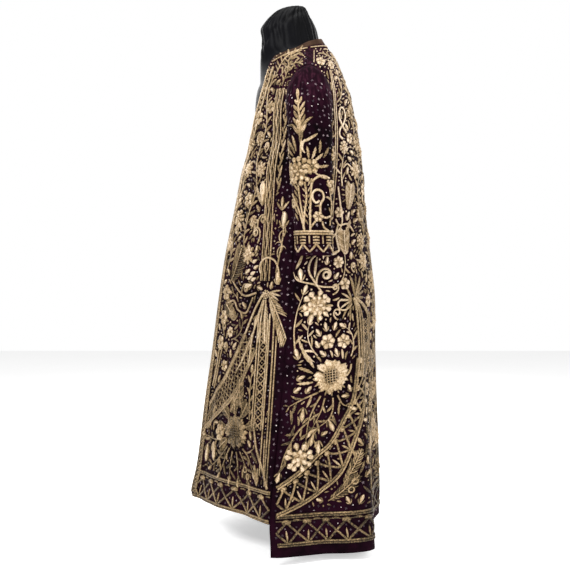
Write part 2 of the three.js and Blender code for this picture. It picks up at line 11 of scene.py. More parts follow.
import bpy
import numpy as np
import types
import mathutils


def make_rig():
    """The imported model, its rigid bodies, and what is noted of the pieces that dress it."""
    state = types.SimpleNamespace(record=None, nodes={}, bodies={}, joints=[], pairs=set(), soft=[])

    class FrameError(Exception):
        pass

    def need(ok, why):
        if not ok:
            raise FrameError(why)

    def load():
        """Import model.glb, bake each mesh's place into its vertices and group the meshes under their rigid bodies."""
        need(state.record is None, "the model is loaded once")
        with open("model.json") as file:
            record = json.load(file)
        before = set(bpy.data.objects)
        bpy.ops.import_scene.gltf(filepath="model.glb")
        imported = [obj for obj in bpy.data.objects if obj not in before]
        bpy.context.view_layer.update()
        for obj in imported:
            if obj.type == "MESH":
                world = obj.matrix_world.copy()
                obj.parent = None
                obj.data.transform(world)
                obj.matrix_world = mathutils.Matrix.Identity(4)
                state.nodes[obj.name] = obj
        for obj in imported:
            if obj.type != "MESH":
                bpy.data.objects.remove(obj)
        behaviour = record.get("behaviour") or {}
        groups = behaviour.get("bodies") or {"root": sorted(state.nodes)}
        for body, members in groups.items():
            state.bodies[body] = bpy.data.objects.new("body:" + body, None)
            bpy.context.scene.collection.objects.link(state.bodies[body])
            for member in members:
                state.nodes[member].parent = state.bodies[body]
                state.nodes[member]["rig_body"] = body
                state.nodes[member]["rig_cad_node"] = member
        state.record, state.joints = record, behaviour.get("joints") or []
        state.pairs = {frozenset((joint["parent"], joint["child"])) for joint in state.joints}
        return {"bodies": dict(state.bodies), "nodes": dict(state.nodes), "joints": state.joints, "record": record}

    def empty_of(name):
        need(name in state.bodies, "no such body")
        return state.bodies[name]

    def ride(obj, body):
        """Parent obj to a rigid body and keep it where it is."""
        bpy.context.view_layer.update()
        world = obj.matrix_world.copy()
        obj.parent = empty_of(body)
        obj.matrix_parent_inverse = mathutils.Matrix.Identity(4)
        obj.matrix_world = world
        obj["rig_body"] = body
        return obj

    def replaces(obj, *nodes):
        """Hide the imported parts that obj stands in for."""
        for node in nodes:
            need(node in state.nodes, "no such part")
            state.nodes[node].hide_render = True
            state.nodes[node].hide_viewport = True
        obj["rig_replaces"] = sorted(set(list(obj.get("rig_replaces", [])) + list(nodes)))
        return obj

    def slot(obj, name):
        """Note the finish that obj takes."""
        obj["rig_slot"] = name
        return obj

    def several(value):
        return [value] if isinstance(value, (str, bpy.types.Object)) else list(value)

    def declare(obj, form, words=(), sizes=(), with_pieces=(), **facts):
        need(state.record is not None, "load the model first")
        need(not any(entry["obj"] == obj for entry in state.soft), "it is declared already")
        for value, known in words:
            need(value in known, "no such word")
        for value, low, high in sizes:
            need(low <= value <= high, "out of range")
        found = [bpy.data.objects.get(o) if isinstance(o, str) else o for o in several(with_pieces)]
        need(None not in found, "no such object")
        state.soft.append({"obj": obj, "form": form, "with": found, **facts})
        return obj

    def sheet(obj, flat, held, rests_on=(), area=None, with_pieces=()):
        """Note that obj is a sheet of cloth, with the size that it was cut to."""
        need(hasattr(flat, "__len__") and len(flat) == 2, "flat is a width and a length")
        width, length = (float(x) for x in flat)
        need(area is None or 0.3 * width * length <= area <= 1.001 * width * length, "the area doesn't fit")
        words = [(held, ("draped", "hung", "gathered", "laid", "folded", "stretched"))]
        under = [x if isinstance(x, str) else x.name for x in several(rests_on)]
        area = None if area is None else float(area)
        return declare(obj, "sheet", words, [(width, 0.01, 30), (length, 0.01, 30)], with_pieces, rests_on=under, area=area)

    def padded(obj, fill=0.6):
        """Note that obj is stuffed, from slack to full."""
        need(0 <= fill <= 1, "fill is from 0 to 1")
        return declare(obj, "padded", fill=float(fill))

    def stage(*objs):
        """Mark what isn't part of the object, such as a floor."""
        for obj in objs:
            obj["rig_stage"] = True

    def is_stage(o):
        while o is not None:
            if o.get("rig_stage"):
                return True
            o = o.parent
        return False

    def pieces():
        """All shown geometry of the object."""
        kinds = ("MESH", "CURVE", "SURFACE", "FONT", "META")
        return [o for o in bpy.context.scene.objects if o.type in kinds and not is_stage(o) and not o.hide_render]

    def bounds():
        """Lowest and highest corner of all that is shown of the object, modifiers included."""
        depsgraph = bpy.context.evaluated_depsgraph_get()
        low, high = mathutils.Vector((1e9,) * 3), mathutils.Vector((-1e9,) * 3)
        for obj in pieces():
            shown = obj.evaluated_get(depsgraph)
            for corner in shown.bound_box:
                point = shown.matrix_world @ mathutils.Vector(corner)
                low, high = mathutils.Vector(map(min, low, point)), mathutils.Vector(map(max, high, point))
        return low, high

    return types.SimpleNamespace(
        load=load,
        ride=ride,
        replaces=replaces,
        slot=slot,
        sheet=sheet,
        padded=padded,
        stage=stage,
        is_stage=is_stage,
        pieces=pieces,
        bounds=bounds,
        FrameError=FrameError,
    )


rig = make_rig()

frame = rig.load()
cad_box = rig.bounds()

MM = 0.001

# Sizes of the robe

WALL = 1.8  # thickness of the velvet with its lining
SEAM = 0.3  # gap between two panels that are sewn together
FRONT_HEM = 98
BACK_HEM = 20
BACK_HEM_RISE = 26
BACK_HEM_SHARE = 0.3
SLIT_TOP = 440
SLIT_LAP = 5
SLIT_TUCK = 10
TUCK_REACH = 60
ARMPIT = 1120
SHOULDER_TIP = 1266
NECK_FRONT = 1308
NECK_SIDE = 1347
NECK_BACK = 1366
COLLAR_HEIGHT = 15
COLLAR_SEAM = 0.5
COLLAR_WALL = 2.4
ARMHOLE_FRONT = 52
ARMHOLE_BACK = 54
ARMHOLE_MIDDLE = (ARMPIT + SHOULDER_TIP) / 2
ARMHOLE_HALF = (SHOULDER_TIP - ARMPIT) / 2

COLUMNS = ("z", "half", "side", "front", "back", "front_full", "back_full")
BODY = np.array([
    (0, 341, -72, -319, 190, .12, .92), (48, 338, -74, -319, 190, .12, .91),
    (100, 335, -79, -316, 190, .12, .9), (184, 328, -76, -298, 190, .14, .86),
    (363, 305, -62, -275, 190, .18, .8), (505, 284, -50, -254, 192, .22, .74),
    (646, 262, -39, -236, 197, .26, .68), (771, 243, -28, -217, 188, .3, .62),
    (910, 224, -15, -189, 174, .32, .58), (1000, 214, -8, -172, 168, .32, .56),
    (1072, 208, 0, -154, 160, .3, .55), (1163, 203, 6, -146, 144, .28, .52),
    (1213, 202, 10, -140, 133, .26, .5), (1240, 200, 11, -135, 125, .24, .48),
    (1266, 196, 12, -130, 116, .23, .46), (1280, 178, 13, -130, 111, .24, .46),
    (1300, 146, 14, -130, 103, .25, .46), (1319, 115, 15, -128, 96, .3, .47),
    (1335, 90, 16, -124, 87, .34, .48), (1347, 74, 16, -122, 79, .38, .5),
    (1366, 69, 17, -118, 65, .4, .52), (1390, 67, 18, -116, 53, .4, .52),
])
OPENING = np.array([
    (0, 6), (800, 4), (1000, 5), (1072, 14), (1120, 34), (1163, 48), (1213, 62),
    (1266, 66), (1319, 62), (1390, 60),
])
# Folds that hang from the waist: place between a side line (0) and a centre line
# (-1 front, 1 back), width as a share of it, depth outwards and top
FOLDS = (
    (-.84, .07, -7, 620), (-.55, .1, 6, 700), (-.3, .08, -8, 560), (0, .09, 20, 560),
    (.25, .1, -22, 680), (.47, .07, 20, 760), (.68, .06, -11, 640), (.8, .04, -6, 520),
    (1, .09, 27, 900),
)
# Small creases: arc and height of both ends, width and depth
CREASES = {
    "left": (
        (-150, 980, -215, 700, 13, 2.4), (-60, 1085, -140, 930, 11, 2.0),
        (-30, 900, -70, 640, 16, -2.2), (-250, 560, -300, 260, 17, 2.4),
        (-200, 420, -228, 120, 14, -2.0), (-120, 520, -150, 240, 15, 1.8),
        (60, 1090, 130, 900, 12, 2.2), (95, 980, 105, 720, 15, -2.4),
        (40, 860, 52, 600, 14, 2.0), (180, 1010, 210, 760, 12, 1.8),
        (150, 640, 165, 380, 17, 2.2), (240, 600, 262, 300, 14, -2.2),
        (320, 700, 342, 380, 15, 2.0), (375, 520, 395, 160, 18, -2.4),
        (70, 1050, 20, 1110, 8, 1.6), (150, 1220, 185, 1080, 12, 1.6),
    ),
    "right": (
        (-140, 1000, -200, 740, 14, 2.2), (-70, 1075, -130, 950, 12, 1.8),
        (-40, 880, -62, 600, 15, -2.0), (-235, 600, -290, 300, 18, 2.6),
        (-180, 380, -215, 130, 13, -2.2), (-100, 560, -140, 280, 16, 2.0),
        (70, 1080, 118, 920, 13, 2.0), (85, 960, 112, 690, 14, -2.2),
        (30, 840, 60, 560, 15, 1.8), (170, 1030, 222, 740, 13, 2.0),
        (140, 600, 170, 340, 16, 2.4), (225, 640, 268, 330, 13, -2.0),
        (330, 660, 345, 420, 16, 1.8), (365, 560, 400, 200, 17, -2.2),
        (60, 1060, 26, 1105, 9, 1.4), (140, 1215, 192, 1100, 13, 1.8),
    ),
}
# Sleeve rings: inner side, outer side, front and back of each
SLEEVE = np.array([
    (207, 1112, 230, 1250, -46, 70), (208.4, 1103, 255, 1213, -48, 72),
    (209.6, 1092, 272, 1163, -46, 72), (211.5, 1076, 281, 1106, -43, 72),
    (215, 1040, 287, 1046, -40, 72), (223.5, 960, 294, 960, -34, 72),
    (235, 860, 304, 860, -28, 71), (250, 764, 318, 762, -22, 70),
])


def ease(t):
    t = np.clip(t, 0, 1)
    return t * t * (3 - 2 * t)


def mix(a, b, t):
    return a + (b - a) * t


def lengths(path):
    """How far along a path each of its points lies."""
    return np.concatenate(([0], np.cumsum(np.linalg.norm(np.diff(path, axis=0), axis=1))))


def mirrored(points):
    return points * np.array((-1, 1, 1))


def on_side(side, points):
    return mirrored(points) if side == "right" else points


def furrow(x, y, crease, stretch, fade):
    """How far a small crease moves the cloth at x, y. It fades out towards its ends."""
    x0, y0, x1, y1, width, depth = crease
    along = np.array((x1 - x0, (y1 - y0) * stretch), float)
    x, y = x - x0, y - y0 * stretch
    t = (x * along[0] + y * along[1]) / (along @ along)
    off = (x * along[1] - y * along[0]) / np.linalg.norm(along)
    return depth * np.exp(-(off / width) ** 2) * ease(fade * t) * ease(fade * (1 - t))


def read(rows, column, z):
    """A table's column at the heights z, along a smooth curve that never passes its rows."""
    at = rows[:, 0]
    value = rows[:, column]
    slope = np.diff(value) / np.diff(at)
    before, after = slope[:-1], slope[1:]
    turning = before * after <= 0
    tangent = np.zeros(len(at))
    tangent[1:-1] = np.where(turning, 0, 2 * before * after / np.where(turning, 1, before + after))
    z = np.clip(z, at[0], at[-1])
    i = np.clip(np.searchsorted(at, z, side="right") - 1, 0, len(at) - 2)
    span = at[i + 1] - at[i]
    t = (z - at[i]) / span
    return (value[i] * (1 + 2 * t) * (1 - t) ** 2 + tangent[i] * span * t * (1 - t) ** 2
            + value[i + 1] * t * t * (3 - 2 * t) + tangent[i + 1] * span * t * t * (t - 1))


def quarter(rows, z, end):
    """x, y and length so far of the outline at height z, from the side line to a centre line."""
    half = read(rows, COLUMNS.index("half"), z)
    side = read(rows, COLUMNS.index("side"), z)
    depth = read(rows, COLUMNS.index(end), z) - side
    full = read(rows, COLUMNS.index(end + "_full"), z)
    t = np.linspace(0, 1, 61)
    u = 1 - t
    x = half * (u ** 3 + 3 * u * u * t + 3 * u * t * t * full)
    y = side + depth * (3 * u * u * t * full + 3 * u * t * t + t ** 3)
    length = np.concatenate(([0], np.cumsum(np.hypot(np.diff(x), np.diff(y)))))
    return x, y, length


# How finely the cloth's surface is tabled

LEVEL_STEP = 5
ARC_STEP = 4
LEVELS = np.arange(0, 1396, LEVEL_STEP)
ARCS = np.arange(-460, 641, ARC_STEP)
LENGTHS = {end: np.array([quarter(BODY, z, end)[2][-1] for z in LEVELS]) for end in ("front", "back")}


class Ground:
    """A curved surface that patterns are laid on: its points and outward normals over
    a grid of two measures in millimetres, one across the cloth and one along it."""

    def __init__(self, across, along, points):
        self.across, self.along, self.points = across, along, points
        down = np.gradient(points, along, axis=0)
        over = np.gradient(points, across, axis=1)
        normal = np.cross(over, down)
        self.normals = normal / np.maximum(np.linalg.norm(normal, axis=2, keepdims=True), 1e-9)

    def at(self, across, along, lift=0.0):
        """Points of the surface, lifted off it along its normals."""
        u, v = (np.clip((at - grid[0]) / (grid[1] - grid[0]), 0, len(grid) - 1.001)
                for at, grid in ((across, self.across), (along, self.along)))
        i, j = u.astype(int), v.astype(int)
        s, t = (u - i)[..., None], (v - j)[..., None]

        def blend(grid):
            low = grid[j, i] * (1 - s) + grid[j, i + 1] * s
            high = grid[j + 1, i] * (1 - s) + grid[j + 1, i + 1] * s
            return low * (1 - t) + high * t
        normal = blend(self.normals)
        normal /= np.maximum(np.linalg.norm(normal, axis=-1, keepdims=True), 1e-9)
        return blend(self.points) + normal * np.asarray(lift)[..., None]


def body_ground(side):
    """The robe's outer face on one side, with its folds and creases, before it is mirrored."""
    arc, z = np.meshgrid(ARCS, LEVELS)
    points = np.zeros(arc.shape + (3,))
    for row, level in enumerate(LEVELS):
        for end, part in (("front", ARCS < 0), ("back", ARCS >= 0)):
            x, y, length = quarter(BODY, level, end)
            reach = np.abs(ARCS[part])
            past = reach > length[-1]
            reach = np.where(past, 2 * length[-1] - reach, reach)
            points[row, part, 0] = np.interp(reach, length, x) * np.where(past, -1, 1)
            points[row, part, 1] = np.interp(reach, length, y)
        points[row, :, 2] = level
    plain = Ground(ARCS, LEVELS, points)
    share = arc / np.where(arc < 0, LENGTHS["front"][:, None], LENGTHS["back"][:, None])
    own = np.where(np.abs(share) > 1, np.sign(share) * 2 - share, share)
    moved = np.zeros(arc.shape)
    for at, width, depth, top in FOLDS:
        moved += depth * np.exp(-((own - at) / width) ** 2) * ease((top - z) / (top - BACK_HEM))
    for crease in CREASES[side]:
        moved += furrow(arc, z, crease, 1, 4)
    return Ground(ARCS, LEVELS, points + plain.normals * moved[..., None])


def tucked(ground):
    """The same face where the front panel tucks under the back panel along the slit."""
    arc, z = np.meshgrid(ARCS, LEVELS)
    slit = np.clip((SLIT_TOP - z) / (SLIT_TOP - BACK_HEM), 0, 1)
    tuck = SLIT_TUCK * slit * ease(1 + arc / TUCK_REACH)
    return Ground(ARCS, LEVELS, ground.points - ground.normals * tuck[..., None])


RING_SIDES = 64
AROUND_STEP = 4
UP_STEP = 4
SLEEVE_REACH = 208  # how far the sleeve's surface is tabled to both sides of its outer line
SLEEVE_UNLIKE = 0.94  # how much lower the right sleeve's creases are
SEAM_FADE = 22  # where creases fade out below the armhole and above the cuff
CUFF_FADE = 30


def sleeve_rings(body):
    """Each ring's height above the cuff along the sleeve's outer line, and the rings' points."""
    angle = np.linspace(-math.pi, math.pi, RING_SIDES * 2 + 1)
    reach = np.where(np.sin(angle) < 0, ARMHOLE_FRONT, ARMHOLE_BACK) - SEAM
    top = body.at(reach * np.sin(angle), ARMHOLE_MIDDLE + (ARMHOLE_HALF - SEAM) * np.cos(angle))
    rings = [top]
    outwards, backwards = (1 + np.cos(angle)) / 2, (1 + np.sin(angle)) / 2
    for in_x, in_z, out_x, out_z, front, back in SLEEVE:
        rings.append(np.stack((mix(in_x, out_x, outwards), mix(front, back, backwards),
                               mix(in_z, out_z, outwards)), axis=1))
    rings = np.array(rings[::-1])
    steps = lengths(rings[:, RING_SIDES])
    up = np.linspace(0, steps[-1], 1 + round(steps[-1] / UP_STEP))
    smooth = np.empty((len(up), len(angle), 3))
    for k in range(3):
        for a in range(len(angle)):
            smooth[:, a, k] = read(np.stack((steps, rings[:, a, k]), axis=1), 1, up)
    return up, smooth


# Creases of a sleeve: way round and way up from the cuff of both ends, width and depth
SLEEVE_CREASES = (
    (-30, 532, -52, 420, 6, 2.4), (-11, 535, -20, 400, 6, 2.9), (12, 535, 20, 380, 7, 3.0),
    (32, 531, 52, 400, 6, 2.5), (1, 522, 2, 430, 5, -2.2), (-120, 410, -50, 350, 9, -2.6),
    (125, 390, 56, 335, 9, -2.4), (-110, 300, -55, 240, 10, 2.0), (115, 240, 60, 190, 10, 1.8),
    (34, 240, 28, 70, 12, 1.2), (-30, 280, -32, 70, 12, -1.0),
)


def sleeve_ground(side, body):
    """A sleeve's outer face, over the way round from its outermost line and up from its cuff."""
    up, rings = sleeve_rings(body)
    across = np.arange(-SLEEVE_REACH, SLEEVE_REACH + 1, AROUND_STEP)
    points = np.empty((len(up), len(across), 3))
    for row, ring in enumerate(rings):
        ring = np.concatenate((ring[:-1], ring[:-1], ring))
        length = lengths(ring)
        start = length[RING_SIDES * 3]
        for k in range(3):
            points[row, :, k] = np.interp(start + across, length, ring[:, k])
    a, u = np.meshgrid(across, up)
    moved = np.zeros(a.shape)
    for crease in SLEEVE_CREASES:
        moved += furrow(a, u, crease, 1 if side == "left" else SLEEVE_UNLIKE, 3)
    moved *= ease((up[-1] - u) / SEAM_FADE) * ease(u / CUFF_FADE)
    plain = Ground(across, up, points)
    return Ground(across, up, points + plain.normals * moved[..., None])


def mesh_piece(name, points, faces, material, uv=None):
    """A mesh object at the origin from points in millimetres and faces of three or four corners."""
    mesh = bpy.data.meshes.new(name)
    quads = [np.asarray(f, dtype=np.int32) for f in faces if len(f)]
    corners = np.concatenate([f.ravel() for f in quads])
    sizes = np.concatenate([np.full(len(f), f.shape[1], np.int32) for f in quads])
    mesh.vertices.add(len(points))
    mesh.vertices.foreach_set("co", (np.asarray(points) * MM).astype(np.float32).ravel())
    mesh.loops.add(len(corners))
    mesh.loops.foreach_set("vertex_index", corners)
    mesh.polygons.add(len(sizes))
    mesh.polygons.foreach_set("loop_start", np.concatenate(([0], np.cumsum(sizes)[:-1])).astype(np.int32))
    mesh.polygons.foreach_set("use_smooth", np.full(len(sizes), True))
    if uv is not None:
        layer = mesh.uv_layers.new(name="cloth")
        layer.data.foreach_set("uv", np.asarray(uv, dtype=np.float32)[corners].ravel())
    mesh.update(calc_edges=True)
    mesh.validate()
    mesh.materials.append(material)
    piece = bpy.data.objects.new(name, mesh)
    bpy.context.scene.collection.objects.link(piece)
    return piece


def grid_faces(rows, columns, closed_round=False):
    """Faces of a grid of rows × columns points."""
    r, c = np.meshgrid(np.arange(rows - 1), np.arange(columns - 1 + closed_round), indexing="ij")
    r, c = r.ravel(), c.ravel()
    low, high, after = r * columns, (r + 1) * columns, (c + 1) % columns
    return np.stack((low + c, low + after, high + after, high + c), 1)


def shell_faces(rows, columns, closed_round):
    """Faces of a closed wall between an outer and an inner grid of rows × columns points."""
    outer = grid_faces(rows, columns, closed_round)
    faces = [outer, outer[:, ::-1] + rows * columns]

    def rim(a, b):
        faces.append(np.stack((a, a + rows * columns, b + rows * columns, b), 1))
    c = np.arange(columns - 1 + closed_round)
    after = (c + 1) % columns
    last = (rows - 1) * columns
    rim(c, after)
    rim(last + after, last + c)
    if not closed_round:
        low = np.arange(rows - 1) * columns
        rim(low + columns, low)
        rim(low + columns - 1, low + 2 * columns - 1)
    return np.concatenate(faces)


def face_out(points, faces):
    """Turns a closed mesh's faces outwards."""
    volume = 0.0
    for face in (faces[:, [0, 1, 2]], faces[:, [0, 2, 3]]):
        a, b, c = (points[face[:, k]] for k in range(3))
        volume += np.einsum("ij,ij->", a, np.cross(b, c))
    return faces[:, ::-1] if volume < 0 else faces


def grid_shell(name, outer, inner, material, closed_round=False, flat=None):
    """A closed thin shell between two grids. flat is each point's place on the flat cloth."""
    rows, columns = outer.shape[:2]
    points = np.concatenate((outer.reshape(-1, 3), inner.reshape(-1, 3)))
    faces = face_out(points, shell_faces(rows, columns, closed_round))
    uv = None
    if flat is not None:
        uv = np.tile(np.asarray(flat).reshape(-1, 2), (2, 1)) * MM
    return mesh_piece(name, points, [faces], material, uv)


class Socket:
    """A shader socket that takes part in Python sums: each operator adds its Math node."""

    def __init__(self, recipe, link):
        self.recipe, self.link = recipe, link

    def maths(self, operation, first, second=0.0):
        return self.recipe.node("Math", {"operation": operation}, {0: first, 1: second})

    def __add__(self, other):
        return self.maths("ADD", self, other)

    def __sub__(self, other):
        return self.maths("SUBTRACT", self, other)

    def __rsub__(self, other):
        return self.maths("SUBTRACT", other, self)

    def __mul__(self, other):
        return self.maths("MULTIPLY", self, other)

    __radd__ = __add__

    def clamped(self):
        return self.maths("MAXIMUM", self.maths("MINIMUM", self, 1.0), 0.0)

    def between(self, low, high):
        """0 below low, 1 above high and smooth between them."""
        return self.recipe.node("MapRange", {"interpolation_type": "SMOOTHSTEP"},
                                {"Value": self, "From Min": low, "From Max": high})


class Recipe:
    """A material's nodes, from one method that takes a node's type, settings and inputs."""

    def __init__(self, name, **constants):
        self.material = bpy.data.materials.new(name)
        self.material.use_nodes = True
        self.tree = self.material.node_tree
        self.tree.nodes.clear()
        self.shader = self.tree.nodes.new("ShaderNodeBsdfPrincipled")
        output = self.tree.nodes.new("ShaderNodeOutputMaterial")
        self.tree.links.new(self.shader.outputs[0], output.inputs["Surface"])
        for socket, value in constants.items():
            self.shader.inputs[socket.replace("_", " ")].default_value = value

    def set(self, node, socket, value):
        if isinstance(value, Socket):
            self.tree.links.new(value.link, node.inputs[socket])
        else:
            node.inputs[socket].default_value = value

    def node(self, kind, settings=None, inputs=None, output=0):
        node = self.tree.nodes.new("ShaderNode" + kind)
        for key, value in (settings or {}).items():
            if key == "stops":
                stops = node.color_ramp.elements
                while len(stops) < len(value):
                    stops.new(1.0)
                for stop, (place, colour) in zip(stops, value):
                    stop.position, stop.color = place, colour
            else:
                setattr(node, key, value)
        for socket, value in (inputs or {}).items():
            self.set(node, socket, value)
        return Socket(self, node.outputs[output])

    def feed(self, **inputs):
        for socket, value in inputs.items():
            self.set(self.shader, socket.replace("_", " "), value)
        return self.material

    def place(self):
        return self.node("TexCoord", output="Object")

    def noise(self, scale, detail=2.0, roughness=0.5, vector=None):
        return self.node("TexNoise", {}, {"Vector": vector or self.place(), "Scale": scale,
                                          "Detail": detail, "Roughness": roughness})

    def mixed(self, factor, low, high):
        """A colour between low and high."""
        node = self.tree.nodes.new("ShaderNodeMix")
        node.data_type = "RGBA"
        for socket, value in ((0, factor), (6, low), (7, high)):
            self.set(node, socket, value)
        return Socket(self, node.outputs[2])

    def bump(self, height, strength, distance, under=None):
        inputs = {"Height": height, "Strength": strength, "Distance": distance}
        if under is not None:
            inputs["Normal"] = under
        return self.node("Bump", {}, inputs)


def rgb(red, green, blue):
    """A screen colour of 0 to 255 as the shader's own linear colour."""
    return tuple((c / 255) ** 2.2 for c in (red, green, blue)) + (1.0,)


def velvet_recipe(name, deep, lit, sheen, painted_sheen_colour):
    recipe = Recipe(name, Sheen_Weight=0.08, Sheen_Roughness=0.3, Sheen_Tint=sheen,
                    Specular_IOR_Level=0.04)
    nap = recipe.noise(7.0, 3.0)
    brushed = recipe.noise(46.0, 2.0)
    pile = recipe.noise(1500.0, 1.0)
    shade = (nap * 0.6 + brushed * 0.3 + pile * 0.25).between(0.42, 0.72)
    # painted sheen: lighter upright streaks in the colour where the cloth hangs from the shoulder
    upright = recipe.node("VectorMath", {"operation": "MULTIPLY"}, {0: recipe.place(), 1: (120, 120, 5)})
    height = recipe.node("SeparateXYZ", {}, {0: recipe.place()}, 2)
    painted_sheen = recipe.noise(1.0, 2.0, 0.5, upright).between(0.42, 0.7) * height.between(1.08, 1.22) * 0.55
    return recipe.feed(
        Base_Color=recipe.mixed(painted_sheen, recipe.mixed(shade, deep, lit), painted_sheen_colour),
        Roughness=0.86 - shade * 0.14,
        Normal=recipe.bump(pile, 0.35, 0.0004, recipe.bump(brushed, 0.25, 0.0012)),
    )


def satin_recipe():
    recipe = Recipe("black satin", Specular_IOR_Level=0.2, IOR=1.3)
    weave = recipe.node("TexWave", {"wave_type": "BANDS", "bands_direction": "DIAGONAL"},
                        {"Vector": recipe.place(), "Scale": 420.0, "Distortion": 1.5}, "Fac")
    worn = recipe.noise(9.0, 4.0)
    return recipe.feed(
        Base_Color=recipe.mixed(worn.between(0.35, 0.7), rgb(5, 5, 8), rgb(12, 12, 17)),
        Roughness=0.42 + worn * 0.18,
        Normal=recipe.bump(weave, 0.12, 0.0002, recipe.bump(worn, 0.3, 0.003)),
    )


def steel_recipe():
    recipe = Recipe("black powder coat", Metallic=0.0, Specular_IOR_Level=0.5)
    grain = recipe.noise(900.0, 2.0)
    scuffs = recipe.noise(22.0, 5.0, 0.7)
    return recipe.feed(
        Base_Color=recipe.mixed(scuffs.between(0.45, 0.75), rgb(22, 22, 23), rgb(48, 48, 50)),
        Roughness=0.38 + scuffs * 0.25,
        Normal=recipe.bump(grain, 0.2, 0.0003),
    )


def gold_recipe(name, dark, middle, light):
    """Couched metal thread: lines of thread across each motif, rougher between them, with painted shade darkening the
    grooves between them.
    """
    recipe = Recipe(name, Metallic=0.55, Specular_IOR_Level=0.5)
    flat = recipe.node("UVMap", {"uv_map": "cloth"})
    split = recipe.node("SeparateXYZ", {}, {0: flat})
    across = recipe.node("SeparateXYZ", {}, {0: flat}, 1)
    lay = split * (6.2832 * 900) + across * (6.2832 * 500)
    thread = lay.maths("SINE", lay) * 0.5 + 0.5
    old = recipe.noise(26.0, 3.0)
    speck = recipe.noise(260.0, 2.0)
    tone = recipe.node("Attribute", {"attribute_name": "tone"}, output="Fac")
    # tone carries the work's painted shade and painted light, and the thread lines add painted shade between them
    body = (tone * 0.8 + old * 0.5 + speck * 1.1 - 0.88 + thread * 0.16).clamped()
    return recipe.feed(
        Base_Color=recipe.node("ValToRGB", {"stops": ((0.1, dark), (0.5, middle), (0.95, light))}, {0: body}),
        Roughness=0.52 - body * 0.2,
        Normal=recipe.bump(thread, 0.45, 0.00035, recipe.bump(speck, 0.4, 0.0008)),
    )


def floor_recipe():
    recipe = Recipe("pale floor", Roughness=0.9, Specular_IOR_Level=0.1, Emission_Strength=0.5)
    cloudy = recipe.noise(1.4, 3.0)
    return recipe.feed(Base_Color=recipe.mixed(cloudy, rgb(240, 240, 240), rgb(246, 246, 246)))


# the last colour of each velvet is its painted sheen on the shoulders
VELVET = velvet_recipe("aubergine velvet", rgb(10, 2, 8), rgb(32, 9, 23), rgb(120, 40, 74),
                       rgb(66, 34, 48))
COLLAR_VELVET = velvet_recipe("brown velvet", rgb(40, 30, 25), rgb(72, 55, 45), rgb(150, 130, 115),
                              rgb(72, 55, 45))
SATIN = satin_recipe()
STEEL = steel_recipe()
GOLD = gold_recipe("aged gold thread", rgb(48, 38, 22), rgb(156, 130, 92), rgb(218, 195, 166))
SILVER = gold_recipe("dull sequins", rgb(52, 40, 48), rgb(124, 106, 112), rgb(250, 240, 236))
FLOOR = floor_recipe()

# Robe panels


def armhole(z, reach):
    return reach * np.sqrt(np.maximum(0, 1 - ((z - ARMHOLE_MIDDLE) / ARMHOLE_HALF) ** 2))


def front_side(z):
    return -(armhole(z, ARMHOLE_FRONT) + SEAM / 2)


def back_side(z):
    slit = np.clip((SLIT_TOP - z) / (SLIT_TOP - BACK_HEM), 0, 1)
    return armhole(z, ARMHOLE_BACK) + SEAM / 2 - SLIT_LAP * np.clip(2 * slit - 1, 0, 1)


LEVEL_OPENING = []  # arc from the side line to the front opening's edge at each level
for level in LEVELS:
    x, _, length = quarter(BODY, level, "front")
    LEVEL_OPENING.append(-np.interp(-read(OPENING, 1, level), -x, length))


def opening_at(z):
    return np.interp(z, LEVELS, LEVEL_OPENING)


def centre_back_at(z):
    return np.interp(z, LEVELS, LENGTHS["back"])


def front_neck(share):
    return mix(NECK_FRONT, NECK_SIDE, 1 - (1 - share) ** 1.35)


def back_neck(share):
    return mix(NECK_SIDE, NECK_BACK, np.sin(share * math.pi / 2))


def back_hem(share):
    return BACK_HEM + BACK_HEM_RISE * ease(1 + (share - 1) / BACK_HEM_SHARE)


SKIRT_ROWS = 128
ARMHOLE_ROWS = 22
YOKE_ROWS = 14
HEM_ROWS = 9
FRONT_COLUMNS = 44
BACK_COLUMNS = 60
SLEEVE_COLUMNS = 72
COLLAR_ROWS = 6
COLLAR_COLUMNS = 24


def panel_heights(hem, neck):
    """Heights of a panel's rows at each column, from the hem to the neck or shoulder."""
    rows = [mix(hem, FRONT_HEM, i / HEM_ROWS) for i in range(HEM_ROWS) if np.any(hem < FRONT_HEM)]
    rows += [mix(FRONT_HEM, ARMPIT, i / SKIRT_ROWS) + 0 * hem for i in range(SKIRT_ROWS)]
    for i in range(ARMHOLE_ROWS + 1):
        rows.append(ARMHOLE_MIDDLE - ARMHOLE_HALF * math.cos(math.pi * i / ARMHOLE_ROWS) + 0 * hem)
    rows += [mix(SHOULDER_TIP, neck, i / YOKE_ROWS) for i in range(1, YOKE_ROWS + 1)]
    return np.array(rows)


BACK_GROUND = {side: body_ground(side) for side in ("left", "right")}
FRONT_GROUND = {side: tucked(BACK_GROUND[side]) for side in BACK_GROUND}
SLEEVE_GROUND = {side: sleeve_ground(side, BACK_GROUND[side]) for side in BACK_GROUND}

robe = {}
for side in ("left", "right"):
    share = np.linspace(0, 1, FRONT_COLUMNS + 1)
    z = panel_heights(0 * share + FRONT_HEM, front_neck(share))
    arc = mix(opening_at(z), front_side(z), share)
    ground = FRONT_GROUND[side]
    robe["front_" + side] = grid_shell(
        "robe_front_" + side, on_side(side, ground.at(arc, z)), on_side(side, ground.at(arc, z, -WALL)),
        VELVET, flat=np.stack((arc, z), axis=2))

